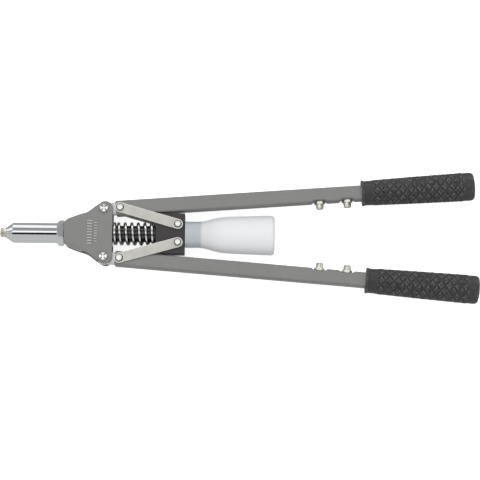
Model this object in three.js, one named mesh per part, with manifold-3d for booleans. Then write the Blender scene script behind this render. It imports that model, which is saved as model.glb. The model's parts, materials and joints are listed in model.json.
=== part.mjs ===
// Long-lever hand riveter with a mandrel bottle.
// Millimetres, +Z up. The tool lies flat: its pull axis runs along X with the nose towards -X,
// the two levers open in the XY plane, and the bottle's lowest point touches Z = 0.
import * as THREE from "three";
import { mergeVertices } from "three/addons/utils/BufferGeometryUtils.js";
import Module from "manifold-3d";

const wasm = await Module();
wasm.setup();

// ---------- driving dimensions ----------
// "Tool" coordinates have their zero on the pull axis, between the two lever pivots.
const TOOL_SHIFT = [-147.9, 0, 21.75]; // puts the tool's box centre over the origin, its base at Z = 0

const GAP = 0.3; // between pieces that touch in the real tool
const RUNNING = 0.2; // radial clearance of pins in their holes

const PIVOT_Y = 26.5; // lever pivots, above and below the pull axis
const LEVER_TILT = THREE.MathUtils.degToRad(4.33); // closed levers spread by this much each
const LINK_ARM = 17.3; // lever pivot to link pin
const BLOCK_PIN = { x: 80.45, y: 10 }; // link pins in the joint block
const BLOCK_SLOT = { x: 2.64, y: 1.46 }; // play of those pins, away from the nose and outwards

const NOSE_TIP_X = -113;
const NOSE_SEAT_X = -106.2; // front edge of the frame head
const HEAD_CONE_END_X = -98.9;
const HEAD_RADIUS = 11.1;
const HEAD_BORE_X = -98; // the jaw case slides in the bore behind this
const COLLAR_X = -51; // hexagon collar of the frame head
const COLLAR_BACK_X = -43.6;
const COLLAR_ACROSS_FLATS = 25.4;
const NECK_END_X = -31;

const PLATE_INNER_Z = 9.3;
const PLATE_THICK = 3;
const PLATE_FRONT_X = -43.3;
const PLATE_BACK_X = 9.4;
const PLATE_CORNER_R = 8;
const SOCKET_HALF_Z = 9;
const SLEEVE_SLOT_X = -11; // the guide sleeve slides back to here between the socket's prongs

const ROD_R = 5.8;
const ROD_FRONT_X = -57;
const MANDREL_BORE_R = 3.6;
const SLEEVE_R = 9;
const SLEEVE_FRONT_X = 7.4;
const SPRING_R = 10.85; // to the middle of the wire
const SPRING_WIRE_R = 1.5;
const SPRING_FRONT_X = 9.7;

const BLOCK_FRONT_X = 56.1;
const BLOCK_BACK_X = 88;
const BLOCK_HALF_Y = 22.2;
const BLOCK_HALF_Z = 8.5;

const TUBE_HALF_Y = 8;
const TUBE_HALF_Z = 9;
const TUBE_WALL = 1.5;
const TUBE_START = 11.2; // from the lever pivot, along the lever
const HEAD_BAR_END = 62;
const SPARE_NOSEPIECES = [234.7, 264.8]; // places along each lever
const DENT = { half: 9.5, depth: 2, slope: 1.6 }; // scallop around a spare nosepiece in a lever's inner wall
const GRIP_LENGTH = 123.6;
const GRIP_START = { upper: 281.2, lower: 285.8 };
const GRIP_END_WALL = 6.5;

const LINK_THICK = 2.8;
const LINK_Z = 9.3; // inner face of each link
const LINK_END_R = 5.5;

const BOTTLE_FRONT_X = 88.4;
const BOTTLE_BACK_X = 185.7;
const BOTTLE_WALL = 1.2;
const BOTTLE_R = 21.75;
const BOTTLE_EDGE = 4; // radius of the round edge of its base

const CASE_FRONT_X = -79.4;
const CASE_R = 8.2;
const CASE_HEAD_BACK_X = -62;
const CASE_MOUTH_R = 4.6;
const JAW_CONE_ANGLE = THREE.MathUtils.degToRad(8);
const JAW_BACK_X = -67.5;

// ---------- materials ----------
const finish = (color, roughness, metalness, extra = {}) =>
  new THREE.MeshStandardMaterial({ color, roughness, metalness, ...extra });
const greyPaint = () => finish(0x8a8a88, 0.45, 0.1);
const chrome = () => finish(0xd4d7d8, 0.12, 1);
const zinc = () => finish(0xc9cac6, 0.35, 0.9);
const nickel = () => finish(0xb9b8ac, 0.4, 0.9);
const bareSteel = () => finish(0xb4b6b6, 0.4, 0.9);
const nosepieceSteel = () => finish(0xb0b1a4, 0.35, 0.9);
const blackSteel = () => finish(0x1c1d1d, 0.3, 0.6);
const darkBlock = () => finish(0x453f42, 0.5, 0.3);
const rubber = () => finish(0x414143, 0.8, 0);
const milkyPlastic = () => finish(0xe8e9ea, 0.4, 0, { transparent: true, opacity: 0.8 });
const whitePlastic = () => finish(0xbdc3c5, 0.5, 0);
const toolSteel = () => finish(0x6b6d70, 0.35, 0.9);
const bronze = () => finish(0xa07c45, 0.4, 0.8);

// ---------- solids ----------
// A closed three.js geometry as a manifold solid, its faces turned outwards.
function solid(geometry) {
  const bare = geometry.index ? geometry.toNonIndexed() : geometry.clone();
  bare.deleteAttribute("normal");
  bare.deleteAttribute("uv");
  const merged = mergeVertices(bare, 1e-4);
  const p = merged.attributes.position;
  const triVerts = new Uint32Array(merged.index.array);
  const corners = [0, 1, 2].map(() => new THREE.Vector3());
  let volume = 0;
  for (let i = 0; i < triVerts.length; i += 3) {
    corners.forEach((c, k) => c.fromBufferAttribute(p, triVerts[i + k]));
    volume += corners[0].dot(corners[1].clone().cross(corners[2]));
  }
  if (volume < 0) {
    for (let i = 0; i < triVerts.length; i += 3) {
      [triVerts[i + 1], triVerts[i + 2]] = [triVerts[i + 2], triVerts[i + 1]];
    }
  }
  return new wasm.Manifold(
    new wasm.Mesh({ numProp: 3, vertProperties: new Float32Array(p.array), triVerts }),
  );
}

function geometryOf(body) {
  const mesh = body.getMesh();
  const positions = new Float32Array(mesh.numVert * 3);
  for (let i = 0; i < mesh.numVert; i++) {
    positions.set(mesh.vertProperties.subarray(i * mesh.numProp, i * mesh.numProp + 3), i * 3);
  }
  const geometry = new THREE.BufferGeometry();
  geometry.setAttribute("position", new THREE.BufferAttribute(positions, 3));
  geometry.setIndex(new THREE.BufferAttribute(new Uint32Array(mesh.triVerts), 1));
  geometry.computeVertexNormals();
  return geometry;
}

const cut = (body, ...tools) => tools.reduce((rest, tool) => rest.subtract(tool), body);
const join = (...bodies) => bodies.reduce((sum, body) => sum.add(body));

// Places along each axis for shapes drawn flat or turned on a lathe.
const ALONG_X = new THREE.Matrix4().makeBasis(
  new THREE.Vector3(0, 1, 0), new THREE.Vector3(0, 0, 1), new THREE.Vector3(1, 0, 0));

// Turned about X: profile points are [x, radius], listed from one end of the axis to the other.
function turnedX(profile, segments = 28) {
  const points = profile.map(([x, r]) => new THREE.Vector2(r, x));
  return solid(new THREE.LatheGeometry(points, segments).rotateZ(-Math.PI / 2));
}

// A ring or sleeve about X: the profile closes on itself.
const ringX = (profile, segments) => turnedX([...profile, profile[0]], segments);

// Turned about Z: profile points are [z, radius].
function turnedZ(profile, segments = 16) {
  const points = profile.map(([z, r]) => new THREE.Vector2(r, z));
  return solid(new THREE.LatheGeometry(points, segments).rotateX(Math.PI / 2));
}

// Turned about Y: profile points are [y, radius].
function turnedY(profile, x = 0, y = 0, segments = 16) {
  const points = profile.map(([along, r]) => new THREE.Vector2(r, along));
  return solid(new THREE.LatheGeometry(points, segments).translate(x, y, 0));
}

const rodX = (x0, x1, r, segments) => turnedX([[x0, 0], [x0, r], [x1, r], [x1, 0]], segments);

function rodZ(z0, z1, r, x = 0, y = 0, segments = 16) {
  const geometry = new THREE.CylinderGeometry(r, r, z1 - z0, segments).rotateX(Math.PI / 2);
  return solid(geometry.translate(x, y, (z0 + z1) / 2));
}

// A flat outline raised along Z from z0 to z1.
function plate(shape, z0, z1, options = {}) {
  const depth = z1 - z0;
  const settings = { depth, bevelEnabled: false, curveSegments: 8, ...options };
  return solid(new THREE.ExtrudeGeometry(shape, settings).translate(0, 0, z0));
}

// A section drawn in the YZ plane and drawn out along X.
function barX(section, x0, x1) {
  const settings = { depth: x1 - x0, bevelEnabled: false, curveSegments: 2 };
  const geometry = new THREE.ExtrudeGeometry(section, settings).applyMatrix4(ALONG_X);
  return solid(geometry.translate(x0, 0, 0));
}

// A box between two corners, turned about the Z axis afterwards.
function box(x0, x1, y0, y1, z0, z1, turn = 0) {
  const geometry = new THREE.BoxGeometry(x1 - x0, y1 - y0, z1 - z0);
  geometry.translate((x0 + x1) / 2, (y0 + y1) / 2, (z0 + z1) / 2);
  return solid(geometry.rotateZ(turn));
}

function roundedRect(halfWidth, halfHeight, r, centreX = 0) {
  const s = new THREE.Shape();
  const [x0, x1] = [centreX - halfWidth, centreX + halfWidth];
  s.moveTo(x0 + r, -halfHeight);
  s.lineTo(x1 - r, -halfHeight);
  s.absarc(x1 - r, -halfHeight + r, r, -Math.PI / 2, 0);
  s.lineTo(x1, halfHeight - r);
  s.absarc(x1 - r, halfHeight - r, r, 0, Math.PI / 2);
  s.lineTo(x0 + r, halfHeight);
  s.absarc(x0 + r, halfHeight - r, r, Math.PI / 2, Math.PI);
  s.lineTo(x0, -halfHeight + r);
  s.absarc(x0 + r, -halfHeight + r, r, Math.PI, 1.5 * Math.PI);
  return s;
}

function hexagon(acrossFlats, turn = 0) {
  const r = acrossFlats / Math.sqrt(3);
  const corners = [0, 1, 2, 3, 4, 5].map((i) => {
    const a = turn + (i * Math.PI) / 3;
    return new THREE.Vector2(r * Math.cos(a), r * Math.sin(a));
  });
  return new THREE.Shape(corners);
}

// ---------- scene graph ----------
const root = new THREE.Group();
const tool = new THREE.Group();
tool.position.set(...TOOL_SHIFT);
root.add(tool);

function add(group, name, body, material) {
  const mesh = new THREE.Mesh(geometryOf(body), material);
  mesh.name = name;
  group.add(mesh);
  return mesh;
}

// ---------- nosepiece, frame head and socket ----------
function fittedNosepiece() {
  const tailX = -96; // the jaws come up to it when the levers are fully open
  const tailR = 3.6;
  const hexFront = NOSE_SEAT_X - 2.6;
  const body = join(
    turnedX([
      [NOSE_TIP_X, 0], [NOSE_TIP_X, 4.4], [NOSE_TIP_X + 0.8, 5.2],
      [hexFront + 0.5, 5.2], [hexFront + 0.5, 0],
    ], 24),
    barX(hexagon(10.4, Math.PI / 2), hexFront, NOSE_SEAT_X - GAP),
    turnedX([
      [hexFront, 0], [hexFront, 4.2], [-100.5, 4.2], [-100.5, tailR], [tailX, 2.9], [tailX, 0],
    ], 24),
  );
  return cut(body, rodX(NOSE_TIP_X - 1, tailX + 1, 2.2, 20));
}

function frameHead() {
  const body = join(
    turnedX([
      [NOSE_SEAT_X, 0], [NOSE_SEAT_X, 6.2], [HEAD_CONE_END_X, HEAD_RADIUS],
      [COLLAR_X + 1, HEAD_RADIUS], [COLLAR_X + 1, 0],
    ], 28),
    collar(),
    rodX(COLLAR_BACK_X - 1, NECK_END_X, 7.8, 28),
  );
  return cut(
    body,
    rodX(NOSE_SEAT_X - 1, HEAD_BORE_X + 1, 4.2 + GAP, 24),
    rodX(HEAD_BORE_X, COLLAR_BACK_X - 2, CASE_R + GAP, 28),
    rodX(COLLAR_BACK_X - 3, NECK_END_X + 1, ROD_R + RUNNING, 24),
  );
}

// The hexagon collar, its corners turned off at 30 degrees on the front face.
function collar() {
  const cornerR = COLLAR_ACROSS_FLATS / Math.sqrt(3);
  const flatR = COLLAR_ACROSS_FLATS / 2;
  const hex = barX(hexagon(COLLAR_ACROSS_FLATS), COLLAR_X, COLLAR_BACK_X);
  const turned = turnedX([
    [COLLAR_X, 0], [COLLAR_X, flatR - 0.8], [COLLAR_X + 2.6, cornerR],
    [COLLAR_BACK_X, cornerR], [COLLAR_BACK_X, 0],
  ], 30);
  return hex.intersect(turned);
}

// Upper half of the socket's outline; the lower half mirrors it.
function headSocket() {
  const half = [
    [PLATE_FRONT_X + GAP, 12], [-26, 18.6], [-19.5, 18.4], [-13.5, 16.2], [-8, 13.2],
    [PLATE_BACK_X - GAP, 13.2],
  ];
  const outline = [...half, ...half.toReversed().map(([x, y]) => [x, -y])];
  const shape = new THREE.Shape(outline.map(([x, y]) => new THREE.Vector2(x, y)));
  return cut(
    plate(shape, -SOCKET_HALF_Z, SOCKET_HALF_Z),
    rodX(PLATE_FRONT_X - 1, NECK_END_X + GAP, 7.8 + GAP - 0.1, 28),
    rodX(NECK_END_X - 1, 0, ROD_R + RUNNING, 24),
    box(SLEEVE_SLOT_X, PLATE_BACK_X + 1, -SLEEVE_R - RUNNING, SLEEVE_R + RUNNING, -10, 10),
  );
}

// ---------- frame plates ----------
// Outline of a plate: a narrow front, a waist, and two round lobes over the lever pivots.
function plateOutline() {
  const lobe = { x: PLATE_BACK_X - PLATE_CORNER_R, y: PIVOT_Y - 0.2 };
  const s = new THREE.Shape();
  s.moveTo(PLATE_FRONT_X, 0);
  s.lineTo(PLATE_FRONT_X, 9);
  s.quadraticCurveTo(PLATE_FRONT_X + 0.4, 13, -38.5, 15);
  s.bezierCurveTo(-31, 18, -26.5, 19.7, -21, 21);
  s.bezierCurveTo(-15.6, 22.4, -12.2, 27.2, lobe.x - PLATE_CORNER_R * 0.72,
    lobe.y + PLATE_CORNER_R * 0.694);
  s.absarc(lobe.x, lobe.y, PLATE_CORNER_R, Math.PI * 0.756, 0, true);
  s.lineTo(PLATE_BACK_X, 0);
  const half = s.getPoints(6);
  const rest = half.slice(1, -1).reverse().map((p) => new THREE.Vector2(p.x, -p.y));
  return new THREE.Shape([...half, ...rest]);
}

// Outer side faces of a plate slope away from two creases that start at the middle of its front.
function flankCutter(side) {
  const from = new THREE.Vector2(-44.5, 0.8 * side);
  const to = new THREE.Vector2(-14, 21.5 * side);
  const along = to.clone().sub(from).normalize();
  const outward = new THREE.Vector2(-along.y, along.x).multiplyScalar(side);
  const top = PLATE_INNER_Z + PLATE_THICK;
  const reach = 14;
  const drop = 2;
  const lip = 4;
  const profile = [[0, top], [reach, top - drop], [reach, top + lip], [0, top + lip]];
  const corners = [];
  for (const end of [from.clone().addScaledVector(along, -12), to]) {
    for (const [d, z] of profile) {
      corners.push(new THREE.Vector3(end.x + outward.x * d, end.y + outward.y * d, z));
    }
  }
  return hull8(corners);
}

// A closed block between two four-cornered ends, listed in the same order.
function hull8(corners) {
  const quads = [[0, 1, 2, 3], [7, 6, 5, 4], [0, 4, 5, 1], [1, 5, 6, 2], [2, 6, 7, 3], [3, 7, 4, 0]];
  const positions = quads.flatMap(([a, b, c, d]) => [a, b, c, a, c, d].flatMap(
    (i) => corners[i].toArray()));
  const geometry = new THREE.BufferGeometry();
  geometry.setAttribute("position", new THREE.Float32BufferAttribute(positions, 3));
  return solid(geometry);
}

function framePlate() {
  const body = plate(plateOutline(), PLATE_INNER_Z, PLATE_INNER_Z + PLATE_THICK);
  return cut(
    body,
    flankCutter(1),
    flankCutter(-1),
    rodZ(PLATE_INNER_Z - 1, PLATE_INNER_Z + PLATE_THICK + 1, 3.1, 0, PIVOT_Y),
    rodZ(PLATE_INNER_Z - 1, PLATE_INNER_Z + PLATE_THICK + 1, 3.1, 0, -PIVOT_Y),
  );
}

// ---------- lever pivots ----------
const plateTop = PLATE_INNER_Z + PLATE_THICK;

function pivotScrew() {
  const seat = plateTop + GAP;
  const body = turnedZ([
    [-plateTop - 6, 0], [-plateTop - 6, 2.4], [-plateTop - 5.4, 2.9], [seat, 2.9],
    [seat, 4.4], [seat + 1.3, 4.4], [seat + 2.2, 3.5], [seat + 2.5, 2], [seat + 2.5, 0],
  ]);
  const arm = (turn) => box(-2.6, 2.6, -0.55, 0.55, seat + 1, seat + 4, turn);
  return cut(body, arm(Math.PI / 4), arm(-Math.PI / 4));
}

function pivotNut() {
  const z1 = -plateTop - GAP;
  return cut(plate(hexagon(10), z1 - 4.8, z1), rodZ(z1 - 6, z1 + 1, 2.9 + RUNNING));
}

function pivotBush() {
  return cut(rodZ(-9, 9, 4.5), rodZ(-10, 10, 2.9 + RUNNING));
}

// ---------- levers ----------
function leverTube(side, grip) {
  const end = grip + GRIP_LENGTH - GRIP_END_WALL - GAP;
  const outer = barX(roundedRect(TUBE_HALF_Y, TUBE_HALF_Z, 2.5), TUBE_START, end);
  const inner = barX(
    roundedRect(TUBE_HALF_Y - TUBE_WALL, TUBE_HALF_Z - TUBE_WALL, 0.8), TUBE_START - 1, end + 1);
  const middle = (TUBE_START + end + 20) / 2;
  const blank = plate(
    roundedRect(middle - TUBE_START, TUBE_HALF_Y + 0.01, 3, middle), -TUBE_HALF_Z - 1,
    TUBE_HALF_Z + 1, { curveSegments: 4 });
  const holeReach = DENT.depth + TUBE_WALL + 1;
  const spareHoles = SPARE_NOSEPIECES.map((s) =>
    turnedY([[-holeReach, 0], [-holeReach, 4.3], [holeReach, 4.3], [holeReach, 0]], s,
      -side * TUBE_HALF_Y));
  const pressed = SPARE_NOSEPIECES.map((s) => dent(side, s, 0));
  const hollow = cut(inner, ...SPARE_NOSEPIECES.map((s) => dent(side, s, TUBE_WALL)));
  return cut(
    outer.intersect(blank), hollow, rodZ(-12, 12, 3 + RUNNING, LINK_ARM), ...pressed,
    ...spareHoles);
}

// Space taken up by a dent in a lever's inner wall, thickened by a wall on its inside.
function dent(side, s, wall) {
  const depth = DENT.depth + wall;
  const rim = DENT.half + wall * Math.hypot(1, DENT.slope);
  const floor = rim - DENT.slope * depth;
  const y = -side * TUBE_HALF_Y;
  const shape = new THREE.Shape([
    new THREE.Vector2(s - rim, y - side * 3),
    new THREE.Vector2(s + rim, y - side * 3),
    new THREE.Vector2(s + rim, y),
    new THREE.Vector2(s + floor, y + side * depth),
    new THREE.Vector2(s - floor, y + side * depth),
    new THREE.Vector2(s - rim, y),
  ]);
  return plate(shape, -TUBE_HALF_Z - 1, TUBE_HALF_Z + 1);
}

// Bar that carries the pivot bore, pushed into the front of the lever tube.
function leverHead() {
  const halfZ = TUBE_HALF_Z - TUBE_WALL - GAP;
  const halfY = TUBE_HALF_Y - TUBE_WALL - GAP;
  const r = 6.9;
  const s = new THREE.Shape();
  const meet = Math.asin(halfY / r);
  s.absarc(0, 0, r, meet, 2 * Math.PI - meet);
  s.lineTo(HEAD_BAR_END, -halfY);
  s.lineTo(HEAD_BAR_END, halfY);
  return cut(
    join(plate(s, -halfZ, halfZ), rodZ(-9, 9, 6.6)),
    rodZ(-10, 10, 4.5 + RUNNING),
    rodZ(-10, 10, 3 + RUNNING, LINK_ARM),
  );
}

function grip() {
  const skin = [
    [0, 0], [0, 13.8], [0.5, 14.15], [2.2, 14.15], [2.9, 13.4], [12, 13.5],
    [60, 14.5], [112, 15.3], [118, 15.5], [121, 15], [122.9, 13.2], [GRIP_LENGTH, 8], [GRIP_LENGTH, 0],
  ];
  const bore = barX(
    roundedRect(TUBE_HALF_Y + GAP, TUBE_HALF_Z + GAP, 2.6), -1, GRIP_LENGTH - GRIP_END_WALL);
  return cut(turnedX(skin, 24), bore);
}

// A spare nosepiece points along +Y from the lever wall at Y = 0, its hexagon sunk into the dent;
// its bore suits one rivet size.
function spareNosepiece(boreR) {
  const seat = GAP - DENT.depth;
  const hexTop = 1.5;
  const body = join(
    turnedY([[seat - 5.8, 0], [seat - 5.8, 3.6], [seat - 5.3, 4], [seat + 1, 4], [seat + 1, 0]]),
    solid(new THREE.ExtrudeGeometry(hexagon(10.4), { depth: hexTop - seat, bevelEnabled: false })
      .rotateX(-Math.PI / 2).translate(0, seat, 0)),
    turnedY([[hexTop - 1, 0], [hexTop - 1, 4.2], [6.2, 4.2], [6.8, 3.5], [6.8, 0]]),
  );
  return cut(body, turnedY([[-9, 0], [-9, boreR], [8, boreR], [8, 0]], 0, 0, 12));
}

// ---------- links and their pins ----------
const pinHeadZ = LINK_Z + LINK_THICK + GAP;

function link(length) {
  const bevel = 0.5;
  const s = new THREE.Shape();
  s.absarc(0, 0, LINK_END_R, Math.PI / 2, 1.5 * Math.PI);
  s.absarc(length, 0, LINK_END_R, -Math.PI / 2, Math.PI / 2);
  const body = plate(s, LINK_Z + bevel, LINK_Z + LINK_THICK - bevel, {
    bevelEnabled: true, bevelThickness: bevel, bevelSize: bevel, bevelOffset: -bevel,
    bevelSegments: 1, curveSegments: 6,
  });
  const z0 = LINK_Z - 1;
  const z1 = pinHeadZ + 1;
  return cut(body, rodZ(z0, z1, 3 + RUNNING), rodZ(z0, z1, 2.2 + RUNNING, length));
}

// Round-headed pin with a groove for its clip at the back end.
function linkPin(shankR, headR) {
  const clipZ = -pinHeadZ;
  const grooveR = shankR - 0.6;
  return turnedZ([
    [clipZ - 2, 0], [clipZ - 2, shankR - 0.4], [clipZ - 1.6, shankR], [clipZ - 1.1, shankR],
    [clipZ - 1.1, grooveR], [clipZ, grooveR], [clipZ, shankR], [pinHeadZ, shankR],
    [pinHeadZ, headR], [pinHeadZ + 0.9, headR], [pinHeadZ + 1.5, headR * 0.72],
    [pinHeadZ + 1.7, 0],
  ], 14);
}

// Open retaining clip that snaps into a pin's groove.
function pinClip(shankR) {
  const inner = shankR - 0.4;
  const outer = shankR + 1.9;
  const mouth = Math.PI / 7;
  const s = new THREE.Shape();
  s.absarc(0, 0, outer, mouth, 2 * Math.PI - mouth);
  s.absarc(0, 0, inner, 2 * Math.PI - mouth, mouth, true);
  return plate(s, -pinHeadZ - 0.95, -pinHeadZ - 0.15, { curveSegments: 8 });
}

// ---------- joint block and pull rod ----------
function jointBlock() {
  const s = new THREE.Shape();
  const [bevelX, bevelY] = [7, 3.5]; // room for the levers at the block's front corners
  s.moveTo(BLOCK_BACK_X, -BLOCK_HALF_Y);
  s.lineTo(BLOCK_BACK_X, BLOCK_HALF_Y);
  s.lineTo(BLOCK_FRONT_X + bevelX, BLOCK_HALF_Y);
  s.lineTo(BLOCK_FRONT_X, BLOCK_HALF_Y - bevelY);
  s.lineTo(BLOCK_FRONT_X, bevelY - BLOCK_HALF_Y);
  s.lineTo(BLOCK_FRONT_X + bevelX, -BLOCK_HALF_Y);
  return cut(
    plate(s, -BLOCK_HALF_Z, BLOCK_HALF_Z),
    rodX(BLOCK_FRONT_X - 1, 60, SLEEVE_R - 0.8, 28),
    rodX(BLOCK_FRONT_X - 1, 77.2, ROD_R + RUNNING, 24),
    rodX(77, BLOCK_BACK_X + 1, 6.5 + RUNNING, 24),
    pinSlot(1),
    pinSlot(-1),
  );
}

// Slot in which a link pin shifts a little as the levers open.
function pinSlot(side) {
  const r = 2.2 + RUNNING;
  const [x, y] = [BLOCK_PIN.x, side * BLOCK_PIN.y];
  const turn = side * Math.atan2(BLOCK_SLOT.y, BLOCK_SLOT.x);
  const s = new THREE.Shape();
  s.absarc(x, y, r, turn + Math.PI / 2, turn + 1.5 * Math.PI);
  s.absarc(x + BLOCK_SLOT.x, y + side * BLOCK_SLOT.y, r, turn - Math.PI / 2, turn + Math.PI / 2);
  return plate(s, -10, 10, { curveSegments: 6 });
}

function guideSleeve() {
  const spigotR = SLEEVE_R - 0.8 - GAP; // stepped end inside the block
  const bore = ROD_R + GAP;
  return ringX([
    [SLEEVE_FRONT_X, bore], [SLEEVE_FRONT_X, SLEEVE_R - 0.6], [SLEEVE_FRONT_X + 0.6, SLEEVE_R],
    [BLOCK_FRONT_X - GAP, SLEEVE_R], [BLOCK_FRONT_X - GAP, spigotR], [59.7, spigotR],
    [59.7, bore],
  ], 28);
}

const pullRod = () => ringX([
  [ROD_FRONT_X, MANDREL_BORE_R], [ROD_FRONT_X, 5.2], [-49, 5.2], [-48.4, ROD_R], [76.8, ROD_R],
  [76.8, MANDREL_BORE_R],
], 24);

function bottleAdapter() {
  const neckR = 12.8;
  return ringX([
    [77.5, 4.6], [77.5, 6.5], [BLOCK_BACK_X + GAP, 6.5], [BLOCK_BACK_X + GAP, neckR],
    [103, neckR], [104, neckR - 1], [104, 10.8], [92.5, 10.8], [89.5, 4.6],
  ], 28);
}

// ---------- bottle ----------
// Outer radius of the bottle along its length, from the mouth to the round edge of its base.
const BOTTLE_SKIN = [
  [BOTTLE_FRONT_X, 14.3], [105.1, 14.3], [109, 14.9], [122, 18.4], [129, 19.5], [136, 20.1],
  [BOTTLE_BACK_X - BOTTLE_EDGE, BOTTLE_R],
];

function bottle() {
  const skin = [...BOTTLE_SKIN];
  const hollow = BOTTLE_SKIN.map(([x, r]) => [x, r - BOTTLE_WALL]);
  const [edgeX, edgeR] = [BOTTLE_BACK_X - BOTTLE_EDGE, BOTTLE_R - BOTTLE_EDGE];
  const inner = BOTTLE_EDGE - BOTTLE_WALL;
  for (const part of [1 / 3, 2 / 3, 1]) {
    const [c, s] = [Math.cos((part * Math.PI) / 2), Math.sin((part * Math.PI) / 2)];
    skin.push([edgeX + BOTTLE_EDGE * s, edgeR + BOTTLE_EDGE * c]);
    hollow.push([edgeX + inner * s, edgeR + inner * c]);
  }
  skin.push([BOTTLE_BACK_X, 0]);
  const base = [[BOTTLE_BACK_X - BOTTLE_WALL, 0]];
  return turnedX([...base, ...hollow.reverse(), ...skin], 28);
}

// ---------- jaws and jaw case ----------
// Radius of the jaw case's inner cone at x.
const coneR = (x) => CASE_MOUTH_R + (x - CASE_FRONT_X) * Math.tan(JAW_CONE_ANGLE);

const jawCaseHead = () => ringX([
  [CASE_FRONT_X, CASE_MOUTH_R], [CASE_FRONT_X, 7.2], [CASE_FRONT_X + 1.2, CASE_R],
  [CASE_HEAD_BACK_X, CASE_R], [CASE_HEAD_BACK_X, coneR(CASE_HEAD_BACK_X)],
], 28);

function jawCaseBody() {
  const front = CASE_HEAD_BACK_X + GAP;
  const floor = ROD_FRONT_X - GAP;
  return ringX([
    [front, 6.5], [front, CASE_R], [-53.5, CASE_R], [-53.5, 5.5], [floor, 5.5], [floor, 6.5],
  ], 28);
}

const jawCaseLockNut = () => cut(
  barX(hexagon(14.6), -53.1, -49.4), rodX(-54, -49, 5.5, 24));

// One of three jaws: a third of a cone, with a gap to its neighbours and a bore for the mandrel.
function jaw() {
  const x0 = CASE_FRONT_X + 1.2;
  const clear = 0.35;
  const gripR = 1.7;
  const cone = ringX([
    [x0, gripR], [x0, coneR(x0) - clear], [JAW_BACK_X, coneR(JAW_BACK_X) - clear],
    [JAW_BACK_X, gripR],
  ], 30);
  const half = THREE.MathUtils.degToRad(54);
  const reach = 20;
  const wedge = new THREE.Shape([
    new THREE.Vector2(0, 0),
    new THREE.Vector2(reach * Math.cos(half), -reach * Math.sin(half)),
    new THREE.Vector2(reach * 1.5, 0),
    new THREE.Vector2(reach * Math.cos(half), reach * Math.sin(half)),
  ]);
  return cone.intersect(barX(wedge, x0 - 1, JAW_BACK_X + 1));
}

// Pusher behind the jaws: a flange for its spring, and a stem that slides in the pull rod's bore.
const PUSHER_FLANGE_X = -65.4;

function jawPusher() {
  const bore = 2.3;
  const front = JAW_BACK_X + GAP;
  return ringX([
    [front, bore], [front, 4.4], [front + 0.9, 5.9], [PUSHER_FLANGE_X, 5.9],
    [PUSHER_FLANGE_X, MANDREL_BORE_R - GAP], [ROD_FRONT_X + 1, MANDREL_BORE_R - GAP],
    [ROD_FRONT_X + 1, bore],
  ], 24);
}

// ---------- springs ----------
// Helix about X whose first and last turns close up; turns start at the given angle from +Y.
class ClosedEndHelix extends THREE.Curve {
  constructor(x0, x1, radius, turns, startAngle) {
    super();
    Object.assign(this, { x0, x1, radius, turns, startAngle });
  }

  getPoint(t, target = new THREE.Vector3()) {
    const u = t * this.turns;
    const pitch = (this.x1 - this.x0) / (this.turns - 1);
    const last = Math.max(0, u - this.turns + 1);
    const rise = u < 1 ? (u * u) / 2 : u - 0.5 - (last * last) / 2;
    const angle = this.startAngle + u * 2 * Math.PI;
    return target.set(
      this.x0 + pitch * rise, this.radius * Math.cos(angle), this.radius * Math.sin(angle));
  }
}

function coil(helix, wireR, sides, stepsPerTurn) {
  const wire = new THREE.Shape();
  wire.absarc(0, 0, wireR, 0, 2 * Math.PI);
  const steps = Math.round(helix.turns * stepsPerTurn);
  const settings = { steps, extrudePath: helix, bevelEnabled: false, curveSegments: sides / 2 };
  return solid(new THREE.ExtrudeGeometry(wire, settings));
}

const returnSpring = () => coil(
  new ClosedEndHelix(SPRING_FRONT_X + SPRING_WIRE_R, BLOCK_FRONT_X - GAP - SPRING_WIRE_R,
    SPRING_R, 7, -0.5),
  SPRING_WIRE_R, 8, 14);

function jawPusherSpring() {
  const wireR = 0.4;
  const ends = [PUSHER_FLANGE_X + wireR + 0.1, ROD_FRONT_X - wireR - 0.1];
  return coil(new ClosedEndHelix(...ends, 4.4, 4.5, 0), wireR, 6, 8);
}

// ---------- frame ----------
add(tool, "nosepiece", fittedNosepiece(), nosepieceSteel());
add(tool, "frame_head", frameHead(), chrome());
add(tool, "head_socket", headSocket(), bareSteel());
add(tool, "frame_plate_front", framePlate(), greyPaint());
add(tool, "frame_plate_rear", framePlate(), greyPaint()).scale.z = -1;
for (const [name, side] of [["upper", 1], ["lower", -1]]) {
  const pivot = new THREE.Group();
  pivot.position.set(0, side * PIVOT_Y, 0);
  tool.add(pivot);
  add(pivot, `${name}_pivot_screw`, pivotScrew(), zinc());
  add(pivot, `${name}_pivot_nut`, pivotNut(), zinc());
  add(pivot, `${name}_pivot_bush`, pivotBush(), bronze());
}
add(tool, "return_spring", returnSpring(), blackSteel());

// ---------- levers ----------
const SPARE_BORES = { upper: [1.3, 1.7], lower: [2, 2.3] };
for (const [name, side] of [["upper", 1], ["lower", -1]]) {
  const lever = new THREE.Group();
  lever.position.set(0, side * PIVOT_Y, 0);
  lever.rotation.z = side * LEVER_TILT;
  tool.add(lever);
  add(lever, `${name}_lever_tube`, leverTube(side, GRIP_START[name]), greyPaint());
  add(lever, `${name}_lever_head`, leverHead(), bareSteel());
  add(lever, `${name}_grip`, grip(), rubber()).position.x = GRIP_START[name];
  add(lever, `${name}_lever_pin`, linkPin(3, 3.9), zinc()).position.x = LINK_ARM;
  add(lever, `${name}_lever_pin_clip`, pinClip(3), blackSteel()).position.x = LINK_ARM;
  SPARE_NOSEPIECES.forEach((s, i) => {
    const spare = add(
      lever, `${name}_spare_nosepiece_${i + 1}`, spareNosepiece(SPARE_BORES[name][i]),
      nosepieceSteel());
    spare.position.set(s, -side * TUBE_HALF_Y, 0);
    spare.rotation.z = side > 0 ? Math.PI : 0;
  });
}

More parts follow.
